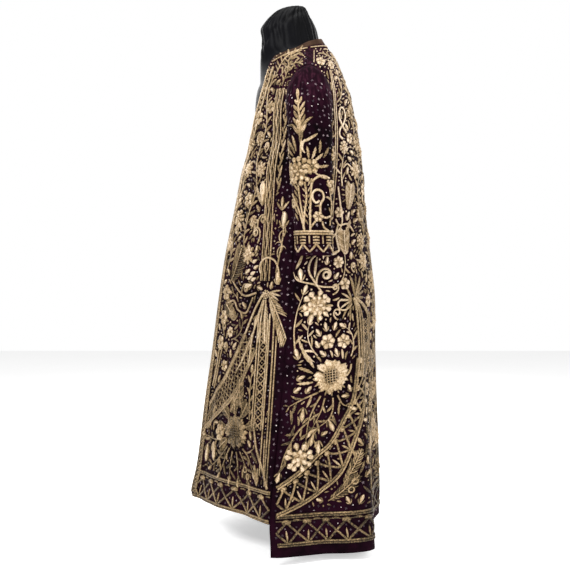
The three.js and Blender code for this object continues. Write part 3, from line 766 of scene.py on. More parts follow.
halves = []
for side in ("left", "right"):
    share = np.linspace(0, 1, BACK_COLUMNS + 1)
    z = panel_heights(back_hem(share), back_neck(share))
    arc = mix(back_side(z), centre_back_at(z), share)
    ground = BACK_GROUND[side]
    for lift in (0, -WALL):
        points = ground.at(arc, z, lift)
        points[:, -1, 0] = 0
        halves.append(points if side == "left" else mirrored(points)[:, -2::-1])
outer = np.concatenate((halves[0], halves[2]), axis=1)
inner = np.concatenate((halves[1], halves[3]), axis=1)
flat = np.stack((np.concatenate((arc, 2 * arc[:, -1:] - arc[:, -2::-1]), axis=1),
                 np.concatenate((z, z[:, -2::-1]), axis=1)), axis=2)
robe["back"] = grid_shell("robe_back", outer, inner, VELVET, flat=flat)

for side in ("left", "right"):
    ground = SLEEVE_GROUND[side]
    _, rings = sleeve_rings(BACK_GROUND[side])
    around = np.linalg.norm(np.diff(rings, axis=1), axis=2).sum(axis=1)
    share = np.arange(0, 1, 1 / SLEEVE_COLUMNS) - 0.5
    across, up = np.meshgrid(share, ground.along)
    across = across * around[:, None]
    outer = on_side(side, ground.at(across, up))
    middle = outer.mean(axis=1, keepdims=True)
    inward = middle - outer
    inner = outer + inward / np.linalg.norm(inward, axis=2, keepdims=True) * WALL
    robe["sleeve_" + side] = grid_shell("robe_sleeve_" + side, outer, inner, VELVET, closed_round=True,
                                        flat=np.stack((across, up), axis=2))


def collar_line(side, rise, lift):
    """Points along the collar at a height above the neckline, from the opening to the centre back."""
    share = np.linspace(0, 1, COLLAR_COLUMNS + 1)
    z = front_neck(share) + COLLAR_SEAM + rise
    points = [BACK_GROUND[side].at(mix(opening_at(z), 0, share), z, lift + 0 * z)]
    z = back_neck(share)[1:] + COLLAR_SEAM + rise
    points.append(BACK_GROUND[side].at(mix(0, centre_back_at(z), share[1:]), z, lift + 0 * z))
    line = np.concatenate(points)
    line[-1, 0] = 0
    return line


def collar_ring(rise, lift):
    left = collar_line("left", rise, lift)
    return np.concatenate((left, mirrored(collar_line("right", rise, lift))[-2::-1]))


rises = [COLLAR_HEIGHT * i / COLLAR_ROWS for i in range(COLLAR_ROWS + 1)]
robe["collar"] = grid_shell("robe_collar", np.array([collar_ring(r, 0.0) for r in rises]),
                            np.array([collar_ring(r, -COLLAR_WALL) for r in rises]), COLLAR_VELVET)

# Dress form

FORM_HIPS = [
    (800, 128, 4, -72, 92, .5, .5), (806, 142, 4, -86, 106, .5, .5), (826, 154, 3, -97, 118, .5, .52),
    (900, 163, 0, -104, 124, .5, .55), (965, 158, 0, -106, 118, .5, .55),
    (1030, 148, 2, -108, 106, .46, .52), (1100, 156, 4, -126, 106, .38, .5),
    (1171, 174, 6, -135, 112, .24, .46), (1209, 185, 9, -133, 112, .2, .44),
    (1240, 192, 11, -128, 107, .19, .42),
]
FORM_NECK = [
    (1338, 69, -6, -119, 62, .34, .46), (1352, 59, -26, -119, 54, .48, .5),
    (1384, 57, -33, -116, 46, .52, .52), (1410, 56, -38, -120, 40, .52, .52),
    (1433, 51, -38, -107, 30, .52, .52), (1452, 43, -34, -90, 21, .52, .52),
    (1464, 36, -30, -75, 15, .52, .52), (1473, 26, -23, -54, 9, .52, .52),
    (1477.5, 14, -14, -32, 3, .52, .52),
]
SHOULDER_START = 1280
SHOULDER_END = 1330
SHOULDER_RUN = 178 - 74  # from the shoulder's start in to the side of the neck
SHOULDER_FRONT = (-120, .18)  # front reach and its fullness on the shoulders
SHOULDER_BACK = (8, .42)  # how far inside the robe's back, and its fullness
SEAT = 2.9  # cloth wall and clearance between the form and the robe's outer face


def form_rows():
    """The form's sections: the robe's own less the cloth over the shoulders."""
    slope = math.atan2(NECK_SIDE - SHOULDER_START, SHOULDER_RUN)
    drop, inset = SEAT * math.cos(slope), SEAT * math.sin(slope)
    rows = list(FORM_HIPS)
    for z, half, side, _, back, _, _ in BODY:
        if SHOULDER_TIP <= z < SHOULDER_END:
            rows.append((z - drop, half - inset, side, SHOULDER_FRONT[0], back - SHOULDER_BACK[0],
                         SHOULDER_FRONT[1], SHOULDER_BACK[1]))
    return np.array(rows + FORM_NECK)


FORM = form_rows()
FORM_QUARTER = 32  # columns in a quarter of the form
GATHERS = (  # place round the neck in turns from the left side, width and depth
    (.03, .012, 1.6), (.075, .010, 1.1), (.13, .014, 2.0), (.175, .009, 1.2), (.215, .012, 1.7),
    (.27, .013, 1.9), (.315, .010, 1.2), (.36, .014, 1.8), (.41, .011, 1.3), (.455, .012, 1.7),
    (.505, .012, 1.5), (.55, .010, 1.9), (.6, .013, 1.3), (.645, .011, 1.8), (.69, .012, 1.4),
    (.735, .012, 2.0), (.785, .010, 1.4), (.83, .013, 1.8), (.875, .009, 1.1), (.92, .013, 1.9),
    (.965, .010, 1.3),
)
GATHER_FROM = 1335
GATHER_FULL = 1375
GATHER_GAIN = 1.7
GATHER_LIMIT = 5.5  # the deepest that a gather goes
TWIST_HEIGHT = 1405  # of the long crease across the neck, at its middle
TWIST_REACH = 55  # up and down from there


def form_ring(z):
    """A closed ring of the form, from the left side over the back, the right side and the front."""
    pieces = []
    steps = np.linspace(0, 1, FORM_QUARTER + 1)
    for end in ("back", "front"):
        x, y, length = quarter(FORM, z, end)
        at = steps * length[-1]
        pieces.append((np.interp(at, length, x), np.interp(at, length, y)))
    (bx, by), (fx, fy) = pieces
    x = np.concatenate((bx[:-1], -bx[:0:-1], -fx[:-1], fx[:0:-1]))
    y = np.concatenate((by[:-1], by[:0:-1], fy[:-1], fy[:0:-1]))
    return np.stack((x, y, np.full(len(x), float(z))), axis=1)


def form_cover():
    """The black cover as one closed mesh, with its gathers round the neck."""
    levels = np.concatenate((np.array((800, 803)), np.arange(806, 1470, 7.0),
                             np.array((1471, 1474, 1476, 1477.5))))
    rings = np.array([form_ring(z) for z in levels])
    count = rings.shape[1]
    around = np.roll(rings, -1, axis=1) - np.roll(rings, 1, axis=1)
    up = np.gradient(rings, axis=0)
    normal = np.cross(around, up)
    normal /= np.maximum(np.linalg.norm(normal, axis=2, keepdims=True), 1e-9)
    turns = np.arange(count) / count
    z = levels[:, None]
    depth = np.zeros((len(levels), count))
    for place, width, deep in GATHERS:
        # each gather leans a little and fades at its own height
        lean = 0.012 * math.sin(place * 40)
        off = turns[None, :] - place - lean * (z - 1400) / 60
        off = (off + 0.5) % 1 - 0.5
        foot = GATHER_FROM + 20 * math.sin(place * 71)
        depth += deep * np.exp(-(off / width) ** 2) * ease((z - foot) / (GATHER_FULL - GATHER_FROM))
    # one long crease across the neck, as the cover twists
    off = (z - TWIST_HEIGHT) - TWIST_REACH * np.sin(turns[None, :] * 2 * math.pi + 0.6)
    depth += 1.6 * np.exp(-(off / 5) ** 2) * ease((z - 1345) / 12)
    depth *= 1 - 0.45 * ease((z - 1450) / 27)
    rings = rings - normal * np.minimum(depth * GATHER_GAIN, GATHER_LIMIT)[..., None]
    sides = grid_faces(len(levels), count, True)
    points = rings.reshape(-1, 3)
    ends = np.array((rings[0].mean(axis=0), rings[-1].mean(axis=0) + (0, 0, 0.6)))
    points = np.concatenate((points, ends))
    low = np.arange(count)
    after = (low + 1) % count
    last = len(points) - 2 - count
    caps = np.concatenate((np.stack((after, low, 0 * low + len(points) - 2), 1),
                           np.stack((last + low, last + after, 0 * low + len(points) - 1), 1)))
    return mesh_piece("form_cover", points, [sides, caps], SATIN)


form = form_cover()

# Metal-thread work

CELL = 2  # of the map of the cloth that is already covered
# Cross-sections of the work: how far across and how high, each as a share
CORD_SHAPE = ((-1, -.25), (-.6, .85), (.6, .85), (1, -.25))
LEAF_SHAPE = ((-1, -.25), (-.5, 1), (0, .4), (.5, 1), (1, -.25))
PETAL_SHAPE = ((-1, -.25), (-.55, .75), (0, 1), (.55, .75), (1, -.25))
THREAD_GAP = 0.25  # between the cloth's outer face and the work on it
PATHS = ("cord", "line", "branch", "vine")  # motifs that run through several places


def numbers(text):
    """The numbers of a text, whole ones as integers."""
    return [float(word) if "." in word else int(word) for word in text.split()]


def places(text):
    """Rows of numbers, parted by commas."""
    return [numbers(row) for row in text.split(",")]


def turned(angle, length):
    """A step of some length at an angle in degrees."""
    return np.array((math.cos(math.radians(angle)), math.sin(math.radians(angle)))) * length


def heading(step):
    return math.degrees(math.atan2(step[1], step[0]))


def curl(x, y, angle, length, bend, unbend=None, steps=10):
    """A path from x, y that starts at an angle and turns as it goes, by bend degrees for
    each of its lengths at the start and unbend at the end."""
    t = (np.arange(steps) + 0.5) / steps
    rate = bend + ((bend if unbend is None else unbend) - bend) * t
    way = np.radians(angle + np.concatenate(([0], np.cumsum(rate[:-1]))) / steps + rate / steps / 2)
    step = np.stack((np.cos(way), np.sin(way)), axis=1) * length / steps
    return np.concatenate(((np.array((x, y)),), np.array((x, y)) + np.cumsum(step, axis=0)))


def through(points, spacing=6.0):
    """A smooth path through a few points, or the text of their places, cut into even steps."""
    p = np.array(places(points) if isinstance(points, str) else points, float)
    p = np.concatenate((2 * p[:1] - p[1:2], p, 2 * p[-1:] - p[-2:-1]))
    t = np.linspace(0, 1, 24, endpoint=False)[:, None]
    pieces = []
    for a, b, c, d in zip(p, p[1:], p[2:], p[3:]):
        pieces.append(b + (c - a) * t / 2 + (a - 2.5 * b + 2 * c - d / 2) * t ** 2
                      + (1.5 * b - 1.5 * c + (d - a) / 2) * t ** 3)
    fine = np.concatenate(pieces + [p[-2:-1]])
    length = lengths(fine)
    at = np.linspace(0, length[-1], max(3, round(length[-1] / spacing) + 1))
    return np.stack((np.interp(at, length, fine[:, 0]), np.interp(at, length, fine[:, 1])), axis=1)


def circle(count, turn=0.0):
    angle = np.arange(count) / count * 2 * math.pi + turn
    return np.stack((np.cos(angle), np.sin(angle)), axis=1)


def fan(count, ring, tip):
    """Triangles from a ring of points up to a tip, and those that close the foot."""
    k = np.arange(count)
    return np.concatenate((np.stack((k + ring, (k + 1) % count + ring, 0 * k + tip), axis=1),
                           [(0, i + 1, i) for i in range(1, count - 1)]))


def part_way(path, share):
    """Points of a path at shares of its steps."""
    k = np.linspace(0, 1, len(path))
    return np.stack((np.interp(share, k, path[:, 0]), np.interp(share, k, path[:, 1])), axis=-1)


def beside(path, offset):
    """The path moved sideways, to its left where offset is positive."""
    step = np.gradient(path, axis=0)
    step /= np.linalg.norm(step, axis=1, keepdims=True)
    return path + np.stack((-step[:, 1], step[:, 0]), axis=1) * np.asarray(offset)[..., None]


def stations(path, first, short, spacing):
    """Places along a path from first to short of its end, each with the path's heading there."""
    length = lengths(path)
    for at in np.arange(first, length[-1] - short, spacing):
        k = min(np.searchsorted(length, at, side="right") - 1, len(path) - 2)
        step = path[k + 1] - path[k]
        yield path[k] + step * (at - length[k]) / (length[k + 1] - length[k]), heading(step)


class Pattern:
    """Work drawn in a ground's own measures, with a map of the cloth that it covers."""

    def __init__(self, low, high, seed):
        self.low = np.array(low, float)
        self.cover = np.zeros([int((high[k] - low[k]) / CELL) + 2 for k in (0, 1)], bool)
        self.points, self.uvs, self.tones, self.quads, self.thirds = [], [], [], [], []
        self.count = 0
        self.chance = random.Random(seed)
        self.limits = None

    def add(self, flat, rise, uv, tone, quads, thirds):
        self.points.append(np.concatenate((flat, rise[:, None]), axis=1))
        self.uvs.append(uv)
        self.tones.append(np.broadcast_to(tone, len(flat)))
        for faces, kept in ((quads, self.quads), (thirds, self.thirds)):
            if len(faces):
                kept.append(np.asarray(faces) + self.count)
        self.count += len(flat)
        self.stamp(flat)

    def stamp(self, flat):
        cell = ((flat - self.low) / CELL).astype(int)
        cell = np.clip(cell, 0, np.array(self.cover.shape) - 1)
        self.cover[cell[:, 0], cell[:, 1]] = True

    def free(self, x, y, radius):
        i, j = int((x - self.low[0]) / CELL), int((y - self.low[1]) / CELL)
        r = int(round(radius / CELL))
        return not self.cover[max(0, i - r):i + r + 1, max(0, j - r):j + r + 1].any()

    def strip(self, path, half, height, shape, tone=0.5, lift=0.0):
        """A closed raised strip along a path. half is half its width at each point or all over."""
        path = np.asarray(path, float)
        n, k = len(path), len(shape)
        half = np.broadcast_to(np.asarray(half, float), n)
        if self.limits:
            # nothing stands past the cloth's own edges
            least, most = self.limits(path[:, 1])
            inside = (path[:, 0] - half > least) & (path[:, 0] + half < most)
            if not inside.all():
                if shape is CORD_SHAPE and inside.sum() > 2:
                    self.strip(path[inside], half[inside], height, shape, tone, lift)
                return
        step = np.gradient(path, axis=0)
        step /= np.maximum(np.linalg.norm(step, axis=1, keepdims=True), 1e-9)
        side = np.stack((-step[:, 1], step[:, 0]), axis=1)
        across, up = np.array(shape, float).T
        flat = path[:, None] + side[:, None] * (half[:, None] * across)[..., None]
        swell = np.sqrt(half / half.max())[:, None]
        rise = lift * (up > 0) + height * up * np.where(up > 0, swell, 1)
        length = lengths(path)
        uv = np.stack((np.broadcast_to(length[:, None], (n, k)), half[:, None] * np.abs(across)), axis=2)
        # painted shade darkens the foot of each strip and its groove, and a painted highlight lightens its crests
        shade = tone + 0.16 * (length / length[-1] - 0.5)[:, None]
        shade = shade + 0.5 * (up - 0.62) * (up < 0.8) + 0.1 * (up > 0.8)
        top = grid_faces(n, k)[:, [0, 3, 2, 1]]
        i = np.arange(n - 1) * k
        under = np.stack((i + k - 1, i + 2 * k - 1, i + k, i), axis=1)
        last = (n - 1) * k
        if k == 4:
            ends = ((0, 1, 2, 3), (last + 3, last + 2, last + 1, last))
            thirds = []
        else:
            ends = ((0, 1, 3, 4), (last + 4, last + 3, last + 1, last))
            thirds = [(1, 2, 3), (last + 3, last + 2, last + 1)]
        self.add(flat.reshape(-1, 2), rise.reshape(-1), uv.reshape(-1, 2),
                 shade.reshape(-1), np.concatenate((top, under, ends)), thirds)
        if half.max() > 3:
            middle = (flat[:, :-1] + flat[:, 1:]) / 2
            self.stamp(middle.reshape(-1, 2))

    def cord(self, path, width=4.2, tone=0.5, height=2.2, taper=False, lift=0.0):
        half = np.full(len(path), width / 2)
        if taper:
            half = half * np.sqrt(np.clip((1.04 - np.linspace(0, 1, len(path))), 0.05, 1))
        self.strip(path, half, height, CORD_SHAPE, tone, lift)

    def coil(self, *shape_and_cord):
        """A cord along a curl: the seven numbers of the curl, then the cord's own."""
        self.cord(curl(*shape_and_cord[:7]), *shape_and_cord[7:])

    def leaf(self, x, y, angle, length, width, bend=0.0, tone=0.5, lift=0.0, steps=6, teeth=False):
        """A leaf with a groove along its middle, and notched edges where it has teeth."""
        steps = 9 if teeth else steps
        t = np.linspace(0, 1, steps + 1)
        half = width / 2 * np.maximum(1.75 * t ** .6 * (1 - t) ** .62, .06)
        half[0] = max(half[0], width * .12)
        if teeth:
            half[2:-1] *= np.where(np.arange(len(half) - 3) % 2, 1.16, .72)
        self.strip(curl(x, y, angle - bend / 2, length, bend, steps=steps), half, 1.3 + width * .13,
                   LEAF_SHAPE, tone + self.chance.uniform(-.2, .2), lift)

    def notched(self, *leaf):
        """A leaf with teeth."""
        self.leaf(*leaf, teeth=True)

    def petal(self, x, y, angle, length, width, bend=0.0, tone=0.5, lift=0.0):
        t = np.linspace(0, 1, 6)
        half = width / 2 * np.maximum(np.sin(np.pi * np.clip(t * .93 + .07, 0, 1) ** 1.7) ** .6, .12)
        self.strip(curl(x, y, angle - bend / 2, length, bend, steps=5), half, 1.6 + width * .12,
                   PETAL_SHAPE, tone + self.chance.uniform(-.13, .13), lift)

    def dome(self, x, y, radius, tone, height, lift=0.0, sides=8):
        ring = circle(sides)
        centre = np.array((x, y))
        flat = np.concatenate((centre + ring * radius, centre + ring * radius * .62, [centre]))
        rise = np.concatenate((np.full(sides, -.3), np.full(sides, lift + height * .78), [lift + height]))
        k = np.arange(sides)
        after = (k + 1) % sides
        quads = np.stack((k, after, after + sides, k + sides), axis=1)
        # painted shade at the dome's foot and a painted highlight at its top
        shade = np.concatenate((np.full(sides, tone - 0.45), np.full(sides, tone), [tone + 0.12]))
        self.add(flat, rise, flat - centre, shade, quads, fan(sides, sides, 2 * sides))

    def star(self, x, y, radius, points, tone):
        """A small raised star, or a round sequin where points is 0."""
        count = points * 2 if points else 6
        ring = circle(count, self.chance.uniform(0, 6.28))
        reach = np.where(np.arange(count) % 2, .34, 1) if points else np.full(count, .9)
        centre = np.array((x, y))
        flat = np.concatenate((centre + ring * (reach * radius)[:, None], [centre]))
        rise = np.concatenate((np.full(count, -.15), [.9]))
        self.add(flat, rise, flat - centre, tone + self.chance.uniform(-.2, .2), [], fan(count, 0, count))

    def around(self, x, y, reach, count, turn=0.0, stray=0.0, sweep=360, shift=0):
        """The number, angle and place of each of a ring's members."""
        for i in range(count):
            angle = turn + (i + shift) * sweep / count
            if stray:
                angle += self.chance.uniform(-stray, stray)
            yield i, angle, np.array((x, y)) + turned(angle, reach)

    def blossom(self, x, y, radius, petals, turn, tone):
        """An open flower: two rings of petals round a raised centre."""
        for ring, (start, reach, wide, lift) in enumerate(((.24, .8, 1.12, 0), (.14, .48, .95, 1.6))):
            for _, angle, at in self.around(x, y, radius * start, petals, turn, shift=.5 * ring):
                width = 2 * math.pi * radius * .62 / petals * wide
                self.petal(*at, angle, radius * reach, width, 0, tone + .12 * ring, lift)
        self.dome(x, y, radius * .22, tone + .25, radius * .12 + 1, lift=2.4)

    def netted(self, x, y, radius, turn, tone):
        """A flower with a netted middle: crossed cords, and uneven lobes of petals all round."""
        some = self.chance.uniform
        for _, angle, at in self.around(x, y, radius * .28, 11, turn, 7):
            self.petal(*at, angle, radius * some(.5, .66), radius * .5, 0, tone - .16)
        for i, angle, at in self.around(x, y, radius * .34, 20, turn, 5):
            side = abs(math.cos(math.radians(angle)))
            reach = radius * (.44 + .2 * side) * some(.85, 1.1)
            self.petal(*at, angle + some(-12, 12), reach, radius * some(.26, .38),
                       some(-20, 20), tone - .14 * (1 - side), lift=.7 * (i % 3))
        for _, angle, at in self.around(x, y, radius * .7, 9, turn + 180, sweep=202.5):
            self.leaf(*at, angle, radius * .3, radius * .13, 0, tone - .16, steps=4)
        for share in np.linspace(-.9, .9, 6):
            reach = radius * .42 * math.sqrt(1 - share ** 2 * .8)
            for way in (0, 90):
                middle = np.array((x, y)) + turned(turn + way + 90, share * radius * (.42 if way else .36))
                ends = [middle + turned(turn + way, s * reach) for s in (-1, 0, 1)]
                self.cord(ends, max(radius * .05, 1.8), tone - .2, 3.2 if way else 3.7, lift=1.4)

    def berries(self, x, y, radius, tone):
        """A flower head of padded oval petals: two rings of them round a few more."""
        some = self.chance.uniform
        self.dome(x, y, radius * .66, tone - .4, 2.2, sides=14)
        for reach, count, turn, size, width, lift in ((.5, 10, 0, .5, .46, 0), (.16, 6, 24, .44, .4, 1.8),
                                                      (0, 2, 48, .3, .4, 3.6)):
            for _, angle, at in self.around(x, y, radius * reach, count, turn, 9):
                self.petal(*at, angle, radius * size * some(.88, 1.12), radius * width * some(.9, 1.1),
                           0, tone, lift)

    def simple(self, x, y, radius, petals, turn, tone):
        """A small flower of broad petals with a bead in the middle."""
        for _, angle, at in self.around(x, y, radius * .16, petals, turn):
            self.petal(*at, angle, radius * .84, radius * 5.4 / petals, 0, tone)
        self.dome(x, y, radius * .2, tone - .2, 2.6, lift=2.0)

    def rose(self, x, y, radius, tone):
        """A full flower of many small padded petals in three rings, with a few leaves behind."""
        some = self.chance.uniform
        self.dome(x, y, radius * .76, tone - .34, 2.2, sides=14)
        for _, angle, at in self.around(x, y, radius * .6, 5, 200, sweep=200):
            self.leaf(*at, angle, radius * .56, radius * .3, 0, tone - .3)
        for reach, count, size, width, lift in ((.6, 11, .42, .5, 0), (.32, 8, .38, .44, 1.8),
                                                (.06, 4, .3, .34, 3.4)):
            for _, angle, at in self.around(x, y, radius * reach, count, reach * 90, 8):
                self.petal(*at, angle + some(-14, 14), radius * size * some(.85, 1.15),
                           radius * width * some(.85, 1.1), 0, tone, lift)

    def bud(self, x, y, angle, length, width, tone):
        """A padded drop-shaped bud between two thin sepals."""
        self.petal(x, y, angle, length, width, 0, tone, lift=.6)
        for sign in (-1, 1):
            self.leaf(x, y, angle + 34 * sign, length * .6, width * .42, -40 * sign, tone - .3)

    def scroll(self, x, y, angle, size, sign, width, tone):
        """A stem that curls into a spiral, with a bud in its eye. size is its whole breadth."""
        path = curl(x, y, angle, size * 3.1, sign * 60, sign * 1150, steps=26)
        self.cord(path, width, tone, 2.2)
        self.dome(*path[-1], width * .85, tone + .15, 2.6, sides=7)

    def vine(self, path, leaf, width, spacing, tone, spread=48, stem=4.0):
        """A stem along a path with leaves on both sides in turn."""
        some = self.chance.uniform
        self.cord(path, stem, tone, 2.2)
        sign = -1
        for place, way in stations(path, spacing * .5, 0, spacing / 2):
            sign = -sign
            size = leaf * some(.75, 1.2)
            self.leaf(*place, way + sign * some(spread - 16, spread + 14), size,
                      width * some(.8, 1.1), sign * some(-30, 60), tone, teeth=self.chance.random() < .4)

    def branch(self, path, sign, tone, leaf, width, stem, spacing=15.0):
        """A stem along a path with leaves to both sides, more open towards its tip, and a bud."""
        some = self.chance.uniform
        self.cord(path, stem, tone, 2.4, taper=True)
        for place, way in stations(path, spacing * .8, spacing * .3, spacing):
            sign = -sign
            self.leaf(*place, way + sign * some(28, 62), leaf * some(.7, 1.2),
                      width * some(.75, 1.15), sign * some(-40, 70), tone, teeth=self.chance.random() < .3)
        self.bud(*path[-1], heading(path[-1] - path[-2]), leaf * .8, width * 1.1, tone + .25)

    def stitched(self, spine, first, past, width, swell, slant, stitch, tone, uneven=0):
        """Pairs of slanting stitches along a spine, from its point first to the one before past.
        swell is their lead and their whole run in points, slant is their angle and the angle that
        sets how far out they end, and stitch is their least length and their width."""
        lead, run = swell
        angle, outer = slant
        least, broad = stitch
        for i in range(first, past):
            way = heading(spine[min(i + 1, len(spine) - 1)] - spine[max(i - 1, 0)])
            size = width / 2 * math.sin(math.pi * (i + lead) / run) ** .6 / math.sin(math.radians(outer))
            if uneven:
                size *= self.chance.uniform(1 - uneven, 1.12)
            for sign in (1, -1):
                self.leaf(*spine[i], way + angle * sign, max(size, least), broad, -sign * 24, tone, steps=4)

    def plume(self, x, y, angle, length, width, bend, tone):
        """A long feather of two rows of slanting stitches beside a spine."""
        n = max(8, int(length / 7.5))
        spine = curl(x, y, angle - bend / 2, length, bend, steps=n)
        self.stitched(spine, 1, n, width, (.6, n + 1), (38, 40), (6, 6.6), tone, .2)
        self.cord(spine, 3.6, tone + .1, 3.0)

    def broad(self, x, y, angle, length, width, bend, tone):
        """A large ribbed leaf: slanting cords laid close beside each other over a midrib."""
        spine = curl(x, y, angle - bend / 2, length, bend, steps=14)
        self.stitched(spine, 0, 14, width, (1.2, 16.5), (50, 50), (5, 7.0), tone)
        self.cord(spine, 3.6, tone + .2, 3.2)

    def line(self, path, width, tone):
        """A thick line of two cords laid side by side."""
        for sign in (-1, 1):
            self.cord(beside(path, sign * width * .26), width * .54, tone + .07 * sign, 3.0)

    def trellis(self, one, other, spacing, tone, edge, net):
        """Crossed cords between two border lines, with a knot in each diamond."""
        for path in (one, other):
            self.cord(path, edge, tone + .08, 2.8)
        n = max(2, round(max(lengths(path)[-1] for path in (one, other)) / spacing))
        share = np.linspace(0, 1, n + 1)
        for i in range(n):
            a, b = part_way(one, share[i]), part_way(other, share[i])
            c, d = part_way(one, share[i + 1]), part_way(other, share[i + 1])
            self.cord([a, (a + d) / 2, d], net, tone - .05, 1.7)
            self.cord([b, (b + c) / 2, c], net, tone - .05, 2.2)
            self.dome(*((a + b + c + d) / 4), net * .95, tone + .12, 1.6, lift=1.4, sides=6)
            self.dome(*((a + b) / 2), net * .62, tone + .1, 1.6, sides=5)

    def zigzag(self, path, reach, pitch, tone, width, start=1.0):
        """A zigzag to both sides of a path."""
        n = max(2, round(lengths(path)[-1] / pitch) * 2)
        middle = part_way(path, np.linspace(0, 1, n + 1))
        sign = start * np.where(np.arange(n + 1) % 2, 1.0, -1.0)
        teeth = beside(middle, sign * reach)
        for a, b in zip(teeth, teeth[1:]):
            self.cord([a, (a + b) / 2, b], width, tone, 2.2 if start > 0 else 1.8)

    def border(self, one, other, pitch, tone, edge, net, head=.78):
        """Two thick lines joined by crossed cords, with a padded head on each tooth beside the
        first line and a small leaf in each diamond."""
        self.line(one, edge, tone)
        self.line(other, edge, tone)
        n = max(2, round(lengths(other)[-1] / pitch))
        slope = head - .04

        def at(u, v):
            return mix(part_way(other, u / n), part_way(one, u / n), v)
        for i in range(-1, n + 1):
            u = i + .5
            for sign in (-1, 1):
                far, near = np.clip(u + sign, 0, n), np.clip(u, 0, n)
                if near != far:
                    path = [at(s, head - slope * abs(s - u)) for s in np.linspace(near, far, 5)]
                    self.cord(path, net, tone - .04 + .05 * sign, 2.2 + .5 * (sign > 0))
            if 0 <= i < n:
                u += self.chance.uniform(-.04, .04)
                self.strip([at(u - .2, head + .01), at(u, head + .03), at(u + .2, head + .01)],
                           (5, 8, 5), 4.2, PETAL_SHAPE, tone + .12)
                self.cord([at(u + .34, .86), at(u + .5, .875), at(u + .68, .86)], 4.2, tone, 2.0)
                low, high = at(u, .12), at(u, .5)
                self.leaf(*low, heading(high - low) + self.chance.uniform(-8, 8),
                          np.linalg.norm(high - low), 8, 0, tone + .28)

    def draw(self, drawing):
        """Draws each line of a text: a motif's name, its places parted by commas, and after a bar
        the numbers that they share. A motif in PATHS runs through its places, and any other is
        drawn at each of them."""
        for row in drawing.strip().splitlines():
            kind, _, rest = row.strip().partition(" ")
            if kind == "#":
                continue
            where, _, shared = rest.partition("|")
            motif = getattr(self, kind)
            if kind in PATHS:
                motif(through(where), *numbers(shared))
                continue
            for place in places(where):
                motif(*place, *numbers(shared))

    def piece(self, name, ground, side, material):
        """The finished work as one mesh on a ground."""
        points = np.concatenate(self.points)
        flat, rise = points[:, :2], points[:, 2]
        spots = ground.at(flat[:, 0], flat[:, 1], rise + THREAD_GAP)
        quads = np.concatenate(self.quads) if self.quads else np.empty((0, 4), int)
        thirds = np.concatenate(self.thirds)
        if side == "right":
            spots = mirrored(spots)
            quads, thirds = quads[:, ::-1], thirds[:, ::-1]
        made = mesh_piece(name, spots, [quads, thirds], material, np.concatenate(self.uvs) * MM)
        shade = made.data.attributes.new("tone", "FLOAT", "POINT")
        # the thread is darker and duller towards the hem and towards the centre back, and painted light brightens the
        # back above its lower skirt near the side line
        dulling_and_painted_light = 0 if "sleeve" in name else 0.16 * ease((480 - flat[:, 1]) / 380)
        if name.startswith("thread_back"):
            dulling_and_painted_light = dulling_and_painted_light - 0.2 * ease((flat[:, 1] - 400) / 60) * ease((190 - flat[:, 0]) / 50)
            dulling_and_painted_light = dulling_and_painted_light + 0.14 * ease((flat[:, 0] - 180) / 80)
        shade.data.foreach_set("value", (np.concatenate(self.tones) - dulling_and_painted_light).astype(np.float32))
        return made


def fill(p, left, right, bottom, top, tone, share=1.0, fine=True):
    """Fills the velvet that is still bare between left(z) and right(z) with curving branches,
    flowers, scrolls and leaves, the large ones first."""
    chance = p.chance
    some = chance.uniform

    def clear(path, reach):
        wide = reach * 1.8 if kind in ("branch", "twig", "leaf") else reach
        return all(left(z) + wide < x < right(z) - wide and bottom + wide < z < top - wide
                   and p.free(x, z, reach) for x, z in path)
    for kind, tries in (("branch", 1500), ("simple", 700), ("scroll", 1200), ("twig", 2600),
                        ("bud", 1800), ("leaf", 5200), ("small", 4200), ("bead", 1200))[:8 if fine else 5]:
        for _ in range(int(tries * share)):
            z = some(bottom, top)
            x = some(left(z), right(z))
            if not p.free(x, z, 3):
                continue
            way = 90 + 70 * math.sin(z / 47 + x / 31) + some(-40, 40)
            sign = chance.choice((-1, 1))
            shade = tone + some(-.14, .14)
            if kind == "branch":
                path = curl(x, z, way, 86, sign * some(10, 70), sign * some(60, 220), 9)
                if clear(path[1:], 8):
                    p.branch(path, sign, shade, 27, 10.5, 4.6)
            elif kind == "simple":
                radius = some(15, 20)
                if clear([(x, z)], radius * .9):
                    p.simple(x, z, radius, chance.choice((5, 6, 7)), some(0, 60), shade + .2)
            elif kind == "scroll":
                if clear([(x, z) + turned(way, 15)], 15):
                    p.scroll(x, z, way - sign * 30, some(22, 30), sign, 4.6, shade + .1)
                    p.leaf(x, z, way + sign * 60, 24, 8.5, sign * 50, shade)
            elif kind == "twig":
                path = curl(x, z, way, 46, sign * some(10, 60), steps=6)
                if clear(path[1:], 7):
                    p.branch(path, sign, shade, 21, 9, 3.8, 13)
            elif kind == "bud":
                if clear([(x, z) + turned(way, 11)], 9):
                    p.bud(x, z, way, some(20, 26), 11, shade + .25)
            elif kind == "leaf":
                if clear(curl(x, z, way, 20, sign * 30, steps=3), 4):
                    p.leaf(x, z, way, some(20, 25), some(8, 10), sign * 40, shade)
            elif kind == "small":
                if clear(curl(x, z, way, 11, sign * 20, steps=2), 2):
                    p.leaf(x, z, way, 13, 6.5, sign * 20, shade, steps=4)
            elif clear([(x, z)], 3):
                p.dome(x, z, some(2.2, 3.2), shade + .3, 2.2, sides=6)


def sprinkle(name, pattern, left, right, bottom, top, gap=13.5, margin=4.0):
    """Small dull metal stars on the bare velvet, a few of them bright round sequins."""
    stars = Pattern(pattern.low, pattern.low + np.array(pattern.cover.shape) * CELL, name)
    some = stars.chance.uniform
    area = (top - bottom) * (right((top + bottom) / 2) - left((top + bottom) / 2))
    for _ in range(int(area / gap ** 2 * 16)):
        z = some(bottom, top)
        x = some(left(z), right(z))
        if stars.free(x, z, gap * .6) and pattern.free(x, z, margin):
            if stars.chance.random() < .16:
                stars.star(x, z, some(1.6, 2.4), 0, 1.1)
            else:
                stars.star(x, z, some(3.0, 4.6), stars.chance.choice((4, 5)), some(.1, .55))
    return stars


